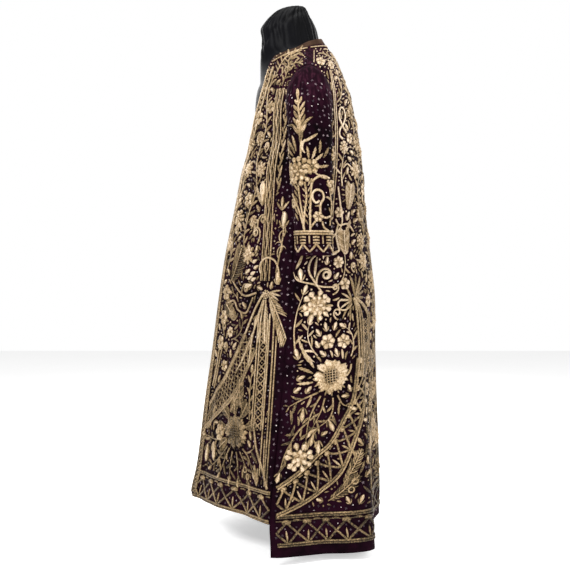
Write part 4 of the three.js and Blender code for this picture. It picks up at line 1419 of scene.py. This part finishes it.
def climb(p, stems, leaf, spacing, stem, kinds):
    """Stems with a flower in each bend. kinds draw the first, second and third of every three."""
    for path, flowers in stems:
        p.vine(through(path), leaf, 11, spacing, .5, 46, stem)
        for i, flower in enumerate(places(flowers)):
            kinds[i % 3](*flower, i)


def hem_line(shift):
    """A line that follows the back hem from the slit to the centre back."""
    arc = np.linspace(6, 526, 70)
    return np.stack((arc, back_hem(arc / 530) + shift), axis=1)


def upright(x, low, high, lean):
    level = np.arange(low, high + 4, 9.0)
    return np.stack((x + lean * (level - low), level), axis=1)


def bare_corner(z, reach, drop):
    """How far the plain velvet reaches from the side line beside the square top of a sleeve."""
    return np.where((z > ARMHOLE_MIDDLE) & (z < ARMHOLE_MIDDLE + ARMHOLE_HALF - drop), reach, 0)


BACK_SKIRT = """
# beside the upright band
notched 182 660 20 44, 182 660 44 58 | 13 20 .5
leaf 182 660 66 58 13 20 .5
notched 182 660 88 58 13 20 .5
leaf 182 660 110 58 13 20 .5
notched 182 660 -4 44 13 20 .5
# the flowers of the near skirt
berries 57 258 37 .98
rose 72 636 38 .74
netted 124 458 50 8 .68
simple 108 545 20 6 12 .72, 152 545 19 6 40 .68
# the looped stems above the full flower
cord 84 668, 66 690, 44 722, 46 752, 64 772 | 6.5 .6 3
cord 62 690, 40 694, 14 702, 4 722 | 6 .5 2.6 1
cord 62 688, 88 684, 120 686, 140 706, 146 742, 142 776 | 6 .56 2.6 1
cord 60 772, 88 766, 116 772 | 7.5 .6 3
scroll 66 692 96 44 -1 7 .62
bud 26 698 100 34 15 .8
leaf 62 760 268 52 12 14 .66, 24 770 250 44 12 -20 .6, 92 768 20 40 12 26 .66
simple 148 692 16 5 20 .7
scroll 112 664 20 26 1 5.4 .55
# the knot on the upright band, with a coil of wire below
leaf 172 648 120 40, 172 648 150 40, 172 648 180 40, 172 648 210 40 | 9 24 .56
leaf 172 648 240 54, 172 648 268 54 | 9 24 .56
coil 172 640 235 76 -60 -420 18 5.4 .62 3, 132 600 160 70 -120 -760 18 5 .62 3
# leaves up the side of the full flower and down to the netted one
branch 24 520, 18 570, 22 620, 34 664 | 1 .5 34 11 5.6 22
notched 40 540 300 60 12 50 .62, 30 560 305 84 13 54 .6
bud 34 500 110 30 14 .78
leaf 76 480 120 36 12 -20 .6
notched 74 466 160 42 14 10 .56, 76 444 186 42 13 -10 .5
coil 178 486 270 60 -60 -240 12 6.4 .6 3
leaf 152 500 100 26 10 20 .64
# stems down from the netted flower
branch 100 410, 84 380, 72 345, 70 300 | 1 .48 32 11 6 21
branch 112 404, 104 372, 84 330 | -1 .48 32 11 6 21
branch 134 404, 136 372, 124 348, 96 330 | 1 .48 32 11 6 21
branch 92 418, 58 404, 20 384 | -1 .48 32 11 6 21
branch 146 410, 160 388, 176 380 | 1 .48 32 11 6 21
branch 70 345, 44 318, 20 268, 10 224 | -1 .48 32 11 6 21
bud 88 322 262, 126 352 300, 56 382 268, 104 300 272 | 36 15 .76
leaf 92 300 300 36 11 20 .8, 84 310 255 36 11 20 .75, 14 336 120 36 11 20 .5, 30 340 100 36 11 20 .56
leaf 8 290 20 36 11 20 .45, 6 222 60 36 11 20 .4, 26 306 70 36 11 20 .4
# the corner outside the curved band
plume 140 150 38 96 34 20 .5, 176 186 64 96 30 16 .5
coil 206 188, 198 168 | 0 44 380 380 14 4.6 .66 2.8
leaf 206 250 120, 196 232 250, 216 212 70, 230 250 80, 240 300 100, 226 180 -40 | 32 11 20 .5
"""
BACK_CHEST = """
# beside the sleeve: a figure of eight, and flowers on a stem
cord 134 1096, 112 1120, 102 1142, 112 1164, 128 1160, 132 1140, 120 1118, \
106 1104, 104 1086, 118 1078 | 6.2 .74 3
berries 124 1056 18 .8
simple 150 1084 15 5 0 .74
branch 122 950, 118 990, 124 1036 | 1 .62 34 9 6 18
cord 124 1000, 140 1012, 158 1006 | 5.4 .6
broad 150 890 82 70 46 10 .62
simple 118 880 15 6 0 .66
cord 102 812, 128 850, 120 900, 108 948 | 6 .62
cord 176 830, 150 850, 120 846, 108 862 | 5.6 .6
cord 116 846, 112 820, 124 780 | 6.4 .6
notched 138 826 60 44 20 40 .62
broad 148 770 100 64 46 -20 .56
leaf 96 800 250 50 12 60 .66
branch 96 1176, 116 1196, 128 1226, 118 1256 | 1 .58 24 10 5 13
"""
# Climbing stems over the hidden part of the back, with the places of their flowers
BACK_STEMS = (
    ("330 134, 300 220, 352 320, 316 430, 340 540, 300 640, 310 720, 262 800",
     "330 268 36, 326 378 30, 300 486 34, 328 596 28, 288 700 30"),
    ("430 138, 398 240, 446 350, 398 450, 420 540, 374 640, 352 740",
     "424 296 40, 416 402 32, 384 500 34, 384 590 28"),
    ("500 140, 470 200, 506 290", "470 262 30, 488 178 26"),
    ("250 720, 214 770, 240 850, 196 930, 214 1020, 180 1100, 196 1180, 160 1250",
     "226 752 26, 212 806 22, 216 884 28, 184 1000 26, 200 1080 24, 172 1160 22"),
    ("330 760, 286 850, 312 930, 262 1010, 276 1090, 230 1170, 236 1240",
     "310 820 28, 276 900 26, 290 985 26, 246 1060 24, 252 1140 24, 212 1215 22"),
)


def back_pattern():
    """The left half of the back panel: arcs from the side line, heights from the floor."""
    p = Pattern((-12, 0), (560, 1400), "back")
    p.limits = lambda z: (np.maximum(back_side(z), bare_corner(z, ARMHOLE_BACK, 0)) - 1, 600)
    p.border(hem_line(98), hem_line(30), 50, .36, 10.5, 6.6)
    p.cord(hem_line(87), 3.0, .3, 2.0)
    # curved band across the skirt, from the upright band down to the slit
    outer = through("262 560, 238 440, 206 318, 172 222, 122 178, 70 147, 8 121", 8)
    inner = through("200 500, 190 400, 166 345, 137 291, 104 264, 69 231, 36 206, 6 186", 8)
    p.border(inner, outer, 46, .42, 11.5, 6.8, .8)
    # upright band
    for off in (4, 16, 28, 66, 78):
        p.line(through(((176 + off * .12, 656), (186 + off * .7, 626), (191 + off, 590), (200 + off, 506),
                        (196 + off * .72, 452)), 8), 6.0, .5)
    p.trellis(*(through(((190 + off, 600), (194 + off, 560), (200 + off, 506)), 8) for off in (34, 62)),
              17, .5, 4.0, 3.6)
    p.draw(BACK_SKIRT)
    # two upright cords beside the sleeve
    column = through("84 812, 90 868, 92 960, 90 1060, 85 1150, 78 1215, 72 1262", 8)
    p.cord(column, 3.6, .58, 2.4)
    p.cord(beside(column, -7), 3.6, .5, 2.4)
    p.draw(BACK_CHEST)
    climb(p, BACK_STEMS, 30, 28, 5.4, (lambda x, z, radius, i: p.blossom(x, z, radius, 8, i * 13, .62),
                                       lambda x, z, radius, i: p.rose(x, z, radius, .66),
                                       lambda x, z, radius, i: p.netted(x, z, radius * 1.1, i * 20, .56)))
    p.draw("""vine 150 1262, 128 1290, 90 1312, 40 1322 | 20 9 20 .52
              vine 196 1255, 150 1292, 110 1322, 90 1338 | 20 9 20 .52""")
    # the centre back, where both halves meet
    level = np.arange(116, 1326, 12.0)
    middle = np.stack((centre_back_at(level) - 4.5, level), axis=1)
    p.line(middle, 7, .5)
    p.zigzag(middle + (-9, 0), 6, 30, .44, 4.2)
    # neckline
    share = np.linspace(0.04, 1, 26)
    neck = back_neck(share)
    p.cord(np.stack((share * centre_back_at(neck - 6), neck - 6), axis=1), 4, .55)
    p.cord(through("14 1330, 14 1300, 14 1276"), 4, .5)
    centre = lambda z: float(centre_back_at(z)) - 14
    near = lambda z: 24 if z < 800 else 6 if z < 1110 else max(float(back_side(z)) + 3, 12)
    fill(p, near, lambda z: min(centre(z), 250), 134, 660, .56, share=2, fine=False)
    fill(p, near, centre, 660, 1350, .58, share=.8)
    fill(p, near, lambda z: min(centre(z), 230), 400, 1350, .5, share=2)
    fill(p, near, centre, 134, 1350, .5)
    fill(p, near, centre, 1120, 1350, .5)
    return p


FRONT_BURST = """
# lines run down into the burst and spread into feathers
cord -86 664, -116 620, -150 560 | 7.5 .66 3
cord -82 650, -106 590, -120 540, -126 480 | 5.5 .66 3
cord -78 650, -88 590, -94 540 | 5 .66 3
cord -72 650, -72 590, -66 540 | 5 .66 3
cord -82 640, -112 570, -150 500, -180 460 | 5 .66 3
plume -64 662 -62 150 52 -24 .66, -70 640 -88 100 26 6 .62, -116 566 240 90 20 -10 .5
leaf -66 668 10, -66 668 -10, -66 668 -28, -66 668 -44 | 42 9 -10 .62
berries -76 664 13 .8
petal -118 756, -110 740, -122 724, -134 712, -118 708 | 200 22 13 0 .95
bud -38 690 95, -132 690 190, -104 610 260 | 34 16 .82
# beside the upright cords: a loop, and stems with curled leaves
coil -34 690 88 150 30 420 20 6.2 .7 3
cord -46 720, -40 760, -34 820, -40 880 | 5.4 .6
coil -42 760 130 54 -120 -288 10, -40 770 40 54 120 288 10 | 5.2 .62 2.8 1
coil -38 800 140 54 -120 -288 10, -36 812 36 54 120 288 10 | 5.2 .62 2.8 1
bud -36 836 88 44 22 .85, -44 886 92 34 13 .72
leaf -44 884 50 30 9 20 .62, -44 884 130 30 9 -20 .62
"""
FRONT_SKIRT = """
# the broad olive leaves and the twisted stems to the left of the burst
broad -236 700 62 100 74 20 .34, -200 606 150 70 46 -30 .34
simple -262 668 22 5 20 .66
cord -228 700, -196 676, -160 660, -112 668 | 6.4 .5 2.8
cord -124 656, -150 616, -190 622, -214 646, -250 640 | 6.4 .5 2.8
scroll -214 640 200 34 1, -190 612 240 34 -1, -240 590 160 34 1, -176 660 100 34 -1 | 6 .46
simple -270 600 21 6 600 .66, -282 530 21 6 530 .66
line -286 516, -300 460, -318 410 | 6 .55
line -266 516, -284 460, -306 404 | 6 .5
# the large flower above the hem
netted -168 305 50 0 .42
"""
FRONT_HEM_STEMS = """
simple -248 292 24 6 0 .64
# stems, buds and coils below the large flower
bud -330 250 262, -284 262 280 | 50 22 .92
branch -200 262, -240 226, -290 196 | -1 .42 30 11 6 18
branch -190 258, -214 220, -232 190 | -1 .42 30 11 6 18
branch -176 252, -182 220, -184 188 | -1 .42 30 11 6 18
branch -160 252, -152 220, -150 186 | -1 .42 30 11 6 18
branch -146 256, -124 224, -104 184 | -1 .42 30 11 6 18
branch -136 264, -110 246, -84 214 | -1 .42 30 11 6 18
branch -216 280, -270 270, -344 272 | -1 .42 30 11 6 18
coil -122 206, -108 190 | 0 48 400 400 14 4.8 .62 2.8
leaf -76 232 285 52 17 0 .7
notched -96 264 320 44 16 10 .46
bud -60 226 270 44 14 .66
notched -344 290 30, -350 262 10, -228 196 120, -300 330 60, -330 212 100 | 36 15 20 .44
# between the swag and the flower
broad -196 352 60 70 44 10 .34, -150 368 100 74 36 -6 .34
branch -112 340, -116 400, -112 460 | 1 .42 28 11 5 16
"""
# Stems up the front to the neck, with the places of their flowers
FRONT_STEMS = (
    ("-270 730, -250 790, -268 870, -232 960, -238 1040, -204 1110, -210 1180, -170 1240",
     "-276 806 22, -228 870 26, -254 930 22, -210 1010 24, -222 1082 20, -184 1150 20"),
    ("-150 760, -182 800, -176 870, -152 950, -168 1040, -142 1120, -150 1210, -126 1270",
     "-158 770 26, -148 858 18, -186 920 22, -140 1000 22, -170 1090 20, -128 1170 18"),
)


def front_pattern():
    """A front panel: arcs run back from the opening's edge, at their lowest, to the side line."""
    p = Pattern((-430, 80), (12, 1400), "front")
    p.limits = lambda z: (opening_at(z), np.minimum(front_side(z), -bare_corner(z, ARMHOLE_FRONT, 8)) + 1)
    z = np.arange(106, 1296, 10.0)
    edge = np.stack((opening_at(z), z), axis=1)
    p.line(edge + (5, 0), 7.5, .5)
    p.line(edge + (31, 0), 6.5, .5)
    p.zigzag(edge + (18, 0), 9, 26, .5, 4.4)
    p.zigzag(edge + (18, 0), 9, 26, .45, 4.4, start=-1.0)
    p.border(through("-372 168, -200 171, -6 173"), through("-392 100, -200 103, -6 104"), 70, .42, 9.5, 6.6)
    # upright band over the slit
    for x, low, high, lean, width, tone in ((-100, 320, 620, .015, 5.4, .6), (-50, 210, 620, -.01, 5.4, .6),
                                            (-27, 186, 640, -.03, 6.0, .48), (-17, 180, 560, -.03, 4.0, .48)):
        p.cord(upright(x, low, high, lean), width, tone, 2.8)
    p.trellis(upright(-90, 320, 590, .015), upright(-58, 320, 600, -.005), 22, .54, 4.4, 4.0)
    p.draw("""line -88 320, -70 270, -36 220, -16 182 | 7 .56
              cord -40 300, -36 240, -24 190 | 5 .56""")
    # swag from the burst to the front edge
    high = through("-150 560, -206 480, -250 428, -330 360", 8)
    low = through("-100 520, -150 440, -196 386, -262 342, -350 292", 8)
    p.line(high, 9, .46)
    p.line(low, 9, .44)
    high, low = (part_way(path, np.linspace(0, 1, 34)) for path in (high, low))
    for near, far in ((.1, .5), (.5, .9)):
        p.trellis(mix(high, low, near), mix(high, low, far), 25, .38, 3.4, 4.2)
    p.draw(FRONT_BURST)
    # upright cords from the burst to the shoulder
    lines = through("-82 700, -84 800, -90 900, -94 1000, -90 1080, -96 1150, -92 1215", 9)
    for off, width, tone, sway in ((-14, 5.2, .6, 0), (-6, 4.2, .36, 2.2), (1, 5.4, .62, -1.4),
                                   (8, 4.0, .4, 1.8), (15, 5.2, .56, 0)):
        p.cord(beside(lines, off + sway * np.sin(np.arange(len(lines)) * 1.3)), width, tone, 2.6)
    p.draw(FRONT_SKIRT)
    for way in (20, 60, 100, 140, 180, 215):
        p.broad(*(np.array((-168, 305)) + turned(way, 44)), way, 46, 34, 10, .36)
    p.draw(FRONT_HEM_STEMS)
    climb(p, FRONT_STEMS, 28, 26, 5.6, (lambda x, z, radius, i: p.blossom(x, z, radius, 8, i * 17, .66),
                                        lambda x, z, radius, i: p.rose(x, z, radius, .7),
                                        lambda x, z, radius, i: p.simple(x, z, radius, 6, i * 17, .66)))
    p.draw("""scroll -122 800 60 40 1, -128 842 100 36 -1, -206 836 120 36 1 | 6.2 .6
              bud -118 905 95 62 30 .7
              leaf -118 900 70 70 14 20 .66, -118 900 120 70 14 -20 .66""")
    # leaves beside the plain strip
    for level in np.arange(932, 1190, 34):
        p.notched(-66, level, 76, 40, 12, 12, .6)
        p.leaf(-58, level + 14, 118, 30, 10, -20, .56)
    # shoulder
    p.draw("""vine -90 1222, -70 1262, -60 1300, -24 1318 | 24 10 20 .56
              vine -120 1262, -90 1292, -60 1316, -20 1330 | 22 10 18 .54
              vine -100 1250, -70 1274, -16 1282 | 24 10 18 .5""")
    share = np.linspace(.06, .95, 22)
    level = front_neck(share) - 6
    p.cord(np.stack((opening_at(level) * (1 - share), level), axis=1), 4.4, .6)
    side = lambda z: min(float(front_side(z)) - 3, -8) if z >= 1120 else float(np.interp(
        z, (600, 660, 720, 830, 1100, 1130, 1262), (-34, -26, -50, -54, -56, -64, -12)))
    fill(p, lambda z: float(opening_at(z)) + 36, side, 182, 1330, .46)
    fill(p, lambda z: float(opening_at(z)) + 6, side, 900, 1332, .5, share=1.2)
    return p


SLEEVE_FLOWER = """
leaf -24 322 48 46 12 -50 .64, -34 320 140 46 12 60 .6, -16 262 78 46 12 -130 1.0, -22 290 30 46 12 20 .64
leaf -44 262 120 46 12 20 .56, -50 256 136 46 12 10 .6, -56 250 150 46 12 0 .56, -40 268 104 46 12 12 .62
leaf -60 270 110 46 12 0 .56
notched -8 246 96, 0 246 70, 4 240 40, 12 226 10, 8 210 -24, -72 236 140, -76 214 176 | 34 12 18 .62
notched -70 196 214, 20 262 84, 30 250 60 | 34 12 18 .62
rose -36 216 36 .66
simple 0 228 20 6 0 .64, -66 222 17 6 20 .66
# stems to the cuff
cord -38 180, -34 140, -28 104, -24 68 | 6.2 .62 2.8
cord -2 196, -5 156, -8 110, -9 70 | 6.2 .62 2.8
cord -60 160, -48 140, -38 116, -24 70 | 6.2 .62 2.8
cord -20 188, -16 150, -22 112, -26 74 | 6.2 .62 2.8
"""
SLEEVE_SCROLL = """
cord 17 110, 19 132, 27 146, 24 162, 10 168, -1 158, 0 142, 8 134, 16 140 | 7 .72 3.2
simple 12 100 14 6 0 .78
cord 22 88, 26 76, 44 68, 56 70 | 5.6 .66 2.6
"""


def sleeve_pattern():
    """A sleeve: backwards from its outermost line, up from its cuff."""
    p = Pattern((-200, 0), (200, 546), "sleeve")
    p.line(through("-150 66, 0 66, 150 66", 7), 9, .6)
    # the teeth below the band: heads of short bars, with slanting cords between them
    for x in np.arange(-131, 140, 34.0):
        for level in (45, 51, 57):
            p.cord([(x - 8, level), (x, level + 1), (x + 8, level)], 4.4, .56, 2.4)
        for sign in (-1, 1):
            p.cord([(x, 43), (x + 8 * sign, 34), (x + 17 * sign, 23)], 6.0, .62, 2.8)
        p.cord([(x + 17, 60), (x + 17, 52), (x + 17, 44)], 5.0, .5, 2.2)
    # the spear of leaves down to the large flower
    p.cord(through("-31 436, -30 380, -25 320, -28 250"), 7, .56, 2.4)
    p.leaf(-31, 410, 91, 30, 15, 0, .62)
    for up, size in ((404, 22), (384, 30), (362, 34), (342, 36), (322, 34)):
        for sign in (-1, 1):
            p.leaf(-29, up - 12, 90 + sign * p.chance.uniform(22, 34), size, 12, -sign * 14, .6)
    for up in (332, 316, 300):
        p.leaf(-28, up - 10, 90 + p.chance.uniform(-12, 12), 32, 17, 0, .58, lift=1)
    p.draw(SLEEVE_FLOWER)
    for up in np.arange(82, 180, 15.0):
        p.leaf(-14, up, 132, 20, 7, 20, .56)
        p.leaf(-12, up + 6, 58, 17, 7, -20, .6)
        p.leaf(-40, up + 8, 120, 22, 8, 10, .56)
    # a scroll and a small flower beside the stems
    p.draw(SLEEVE_SCROLL)
    p.cord([(24, 98), (34, 97), (46, 101)], 6.4, .7, 2.6)
    p.cord([(-8, 76), (0, 84), (8, 92)], 5.6, .66, 2.6)
    p.leaf(4, 126, 8, 18, 7, 0, .66)
    p.cord(through("-4 172, 2 192, 24 204, 46 198"), 6.4, .66, 2.8)
    # the same kind of spray on the sleeve's back and inner sides
    for x, turn in ((84, 1), (-104, -1)):
        stem = through(((x, 74), (x + 8 * turn, 130), (x - 6 * turn, 190), (x, 240)))
        p.branch(stem, turn, .56, 32, 12, 6, 20)
        p.rose(x, 262, 26, .68)
        p.branch(through(((x, 288), (x + 4, 320), (x, 360))), turn, .58, 28, 11, 6, 15)
        p.scroll(x + 24, 120, 80, 34, turn, 6.4, .64)
        p.scroll(x - 22, 100, 110, 30, -turn, 6.0, .6)
        p.simple(x - 26, 180, 17, 6, 0, .7)
        p.simple(x + 28, 200, 16, 6, 0, .66)
    p.draw("branch 44 80, 52 130, 44 176 | 1 .56 24 10 5 16")
    return p


# The work of each panel, and the stars that are sprinkled on its bare velvet
back_work = back_pattern()
front_work = front_pattern()
sleeve_work = sleeve_pattern()
back_stars = sprinkle("back stars", back_work, lambda z: 4 if z < 1118 else 62 if z < 1266 else 8,
                      lambda z: float(centre_back_at(z)) - 4, 42, 1340, 12.5, 3.5)
front_stars = sprinkle("front stars", front_work, lambda z: float(opening_at(z)) + 6,
                       lambda z: -5 if z < 1118 else -57 if z < 1266 else -8, 108, 1320)
sleeve_stars = sprinkle("sleeve stars", sleeve_work, lambda z: -150, lambda z: 150, 14, 458, 15)

thread = {}
for side in ("left", "right"):
    for name, work, stars, ground in (("front", front_work, front_stars, FRONT_GROUND),
                                      ("back", back_work, back_stars, BACK_GROUND),
                                      ("sleeve", sleeve_work, sleeve_stars, SLEEVE_GROUND)):
        robe_piece = "back" if name == "back" else f"{name}_{side}"
        flowers = work.piece(f"thread_{name}_{side}", ground[side], side, GOLD)
        sequins = stars.piece(f"sequins_{name}_{side}", ground[side], side, SILVER)
        thread.setdefault(robe_piece, []).extend((flowers, sequins))

# What each piece is

for name in ("stand_pole", "stand_base"):
    node = frame["nodes"][name]
    node.data.materials.clear()
    node.data.materials.append(STEEL)

for pieces in thread.values():
    for piece in pieces:
        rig.ride(piece, "root")
        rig.slot(piece, "metal_thread")
for name, piece in robe.items():
    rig.ride(piece, "root")
    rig.replaces(piece, name)
    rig.slot(piece, "collar_velvet" if name == "collar" else "velvet")
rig.ride(form, "root")
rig.replaces(form, "form")
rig.slot(form, "form_cloth")
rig.padded(form, fill=1.0)
CUTS = {  # flat size in metres and its area in square metres
    "front_left": ((0.42, 1.27), 0.377), "front_right": ((0.42, 1.27), 0.377),
    "back": ((1.15, 1.36), 1.025), "sleeve_left": ((0.33, 0.50), 0.125),
    "sleeve_right": ((0.33, 0.50), 0.125), "collar": ((0.40, 0.016), 0.006),
}
for name, (size, area) in CUTS.items():
    rests = ["form"]
    if name == "collar":
        rests = ["back"]
    elif name.startswith("sleeve"):
        rests = ["back", name.replace("sleeve", "front")]
    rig.sheet(robe[name], flat=size, area=area, held="hung", rests_on=rests, with_pieces=thread.get(name, ()))

# Floor, light and camera


def floor_sheet():
    bpy.ops.object.select_all(action="DESELECT")
    bpy.ops.mesh.primitive_plane_add(size=14, location=(0, 0, 0))
    floor = bpy.context.object
    floor.name = "floor"
    bpy.ops.object.mode_set(mode="EDIT")
    bpy.ops.mesh.select_all(action="SELECT")
    bpy.ops.mesh.subdivide(number_cuts=3)
    bpy.ops.object.mode_set(mode="OBJECT")
    floor.data.materials.append(FLOOR)
    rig.stage(floor)


def softbox(name, place, aim_height, size, watts):
    light = bpy.data.lights.new(name, "AREA")
    light.shape, light.size, light.energy = "SQUARE", size, watts
    lamp = bpy.data.objects.new(name, light)
    bpy.context.scene.collection.objects.link(lamp)
    lamp.location = place
    aim = np.array((0, 0, aim_height)) - np.array(place)
    yaw = math.atan2(aim[1], aim[0])
    pitch = math.atan2(aim[2], math.hypot(aim[0], aim[1]))
    lamp.rotation_euler = (math.pi / 2 + pitch, 0, yaw - math.pi / 2)


floor_sheet()
softbox("key", (2.2, -2.0, 2.9), 0.8, 1.1, 98)
softbox("fill", (2.6, 2.2, 1.7), 0.7, 1.8, 62)
softbox("far side", (-2.4, -1.6, 2.2), 0.7, 1.8, 50)
softbox("behind", (-2.0, 2.4, 2.2), 0.7, 1.8, 50)
softbox("overhead", (0.3, 0, 3.4), 0.8, 1.6, 45)

WORLD_LIGHT = 0.4  # what the white room adds to the lamps
world = bpy.data.worlds.new("white studio")
world.use_nodes = True
backdrop = world.node_tree.nodes["Background"]
backdrop.inputs["Color"].default_value = (1, 1, 1, 1)
backdrop.inputs["Strength"].default_value = WORLD_LIGHT
seen = world.node_tree.nodes.new("ShaderNodeBackground")
seen.inputs["Color"].default_value = (1, 1, 1, 1)
rays = world.node_tree.nodes.new("ShaderNodeLightPath")
choice = world.node_tree.nodes.new("ShaderNodeMixShader")
for source, target in ((rays.outputs["Is Camera Ray"], choice.inputs[0]),
                       (backdrop.outputs[0], choice.inputs[1]), (seen.outputs[0], choice.inputs[2]),
                       (choice.outputs[0], world.node_tree.nodes["World Output"].inputs["Surface"])):
    world.node_tree.links.new(source, target)
bpy.context.scene.world = world
bpy.context.scene.view_settings.view_transform = "Standard"

CAMERA_AT = (2.6, -0.05, 0.689)
PHOTO_WIDTH = 570  # in pixels
FOCAL = 916.8  # in the same pixels
SENSOR = 36.0
camera = bpy.data.objects.new("camera", bpy.data.cameras.new("camera"))
camera.data.sensor_width = SENSOR
camera.data.lens = FOCAL * SENSOR / PHOTO_WIDTH
camera.location = CAMERA_AT
camera.rotation_euler = (math.pi / 2, 0, math.pi / 2)
bpy.context.scene.collection.objects.link(camera)
bpy.context.scene.camera = camera

as_lists = lambda box: [list(map(float, corner)) for corner in box]
json.dump([as_lists(cad_box), as_lists(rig.bounds())], open("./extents.json", "w"))
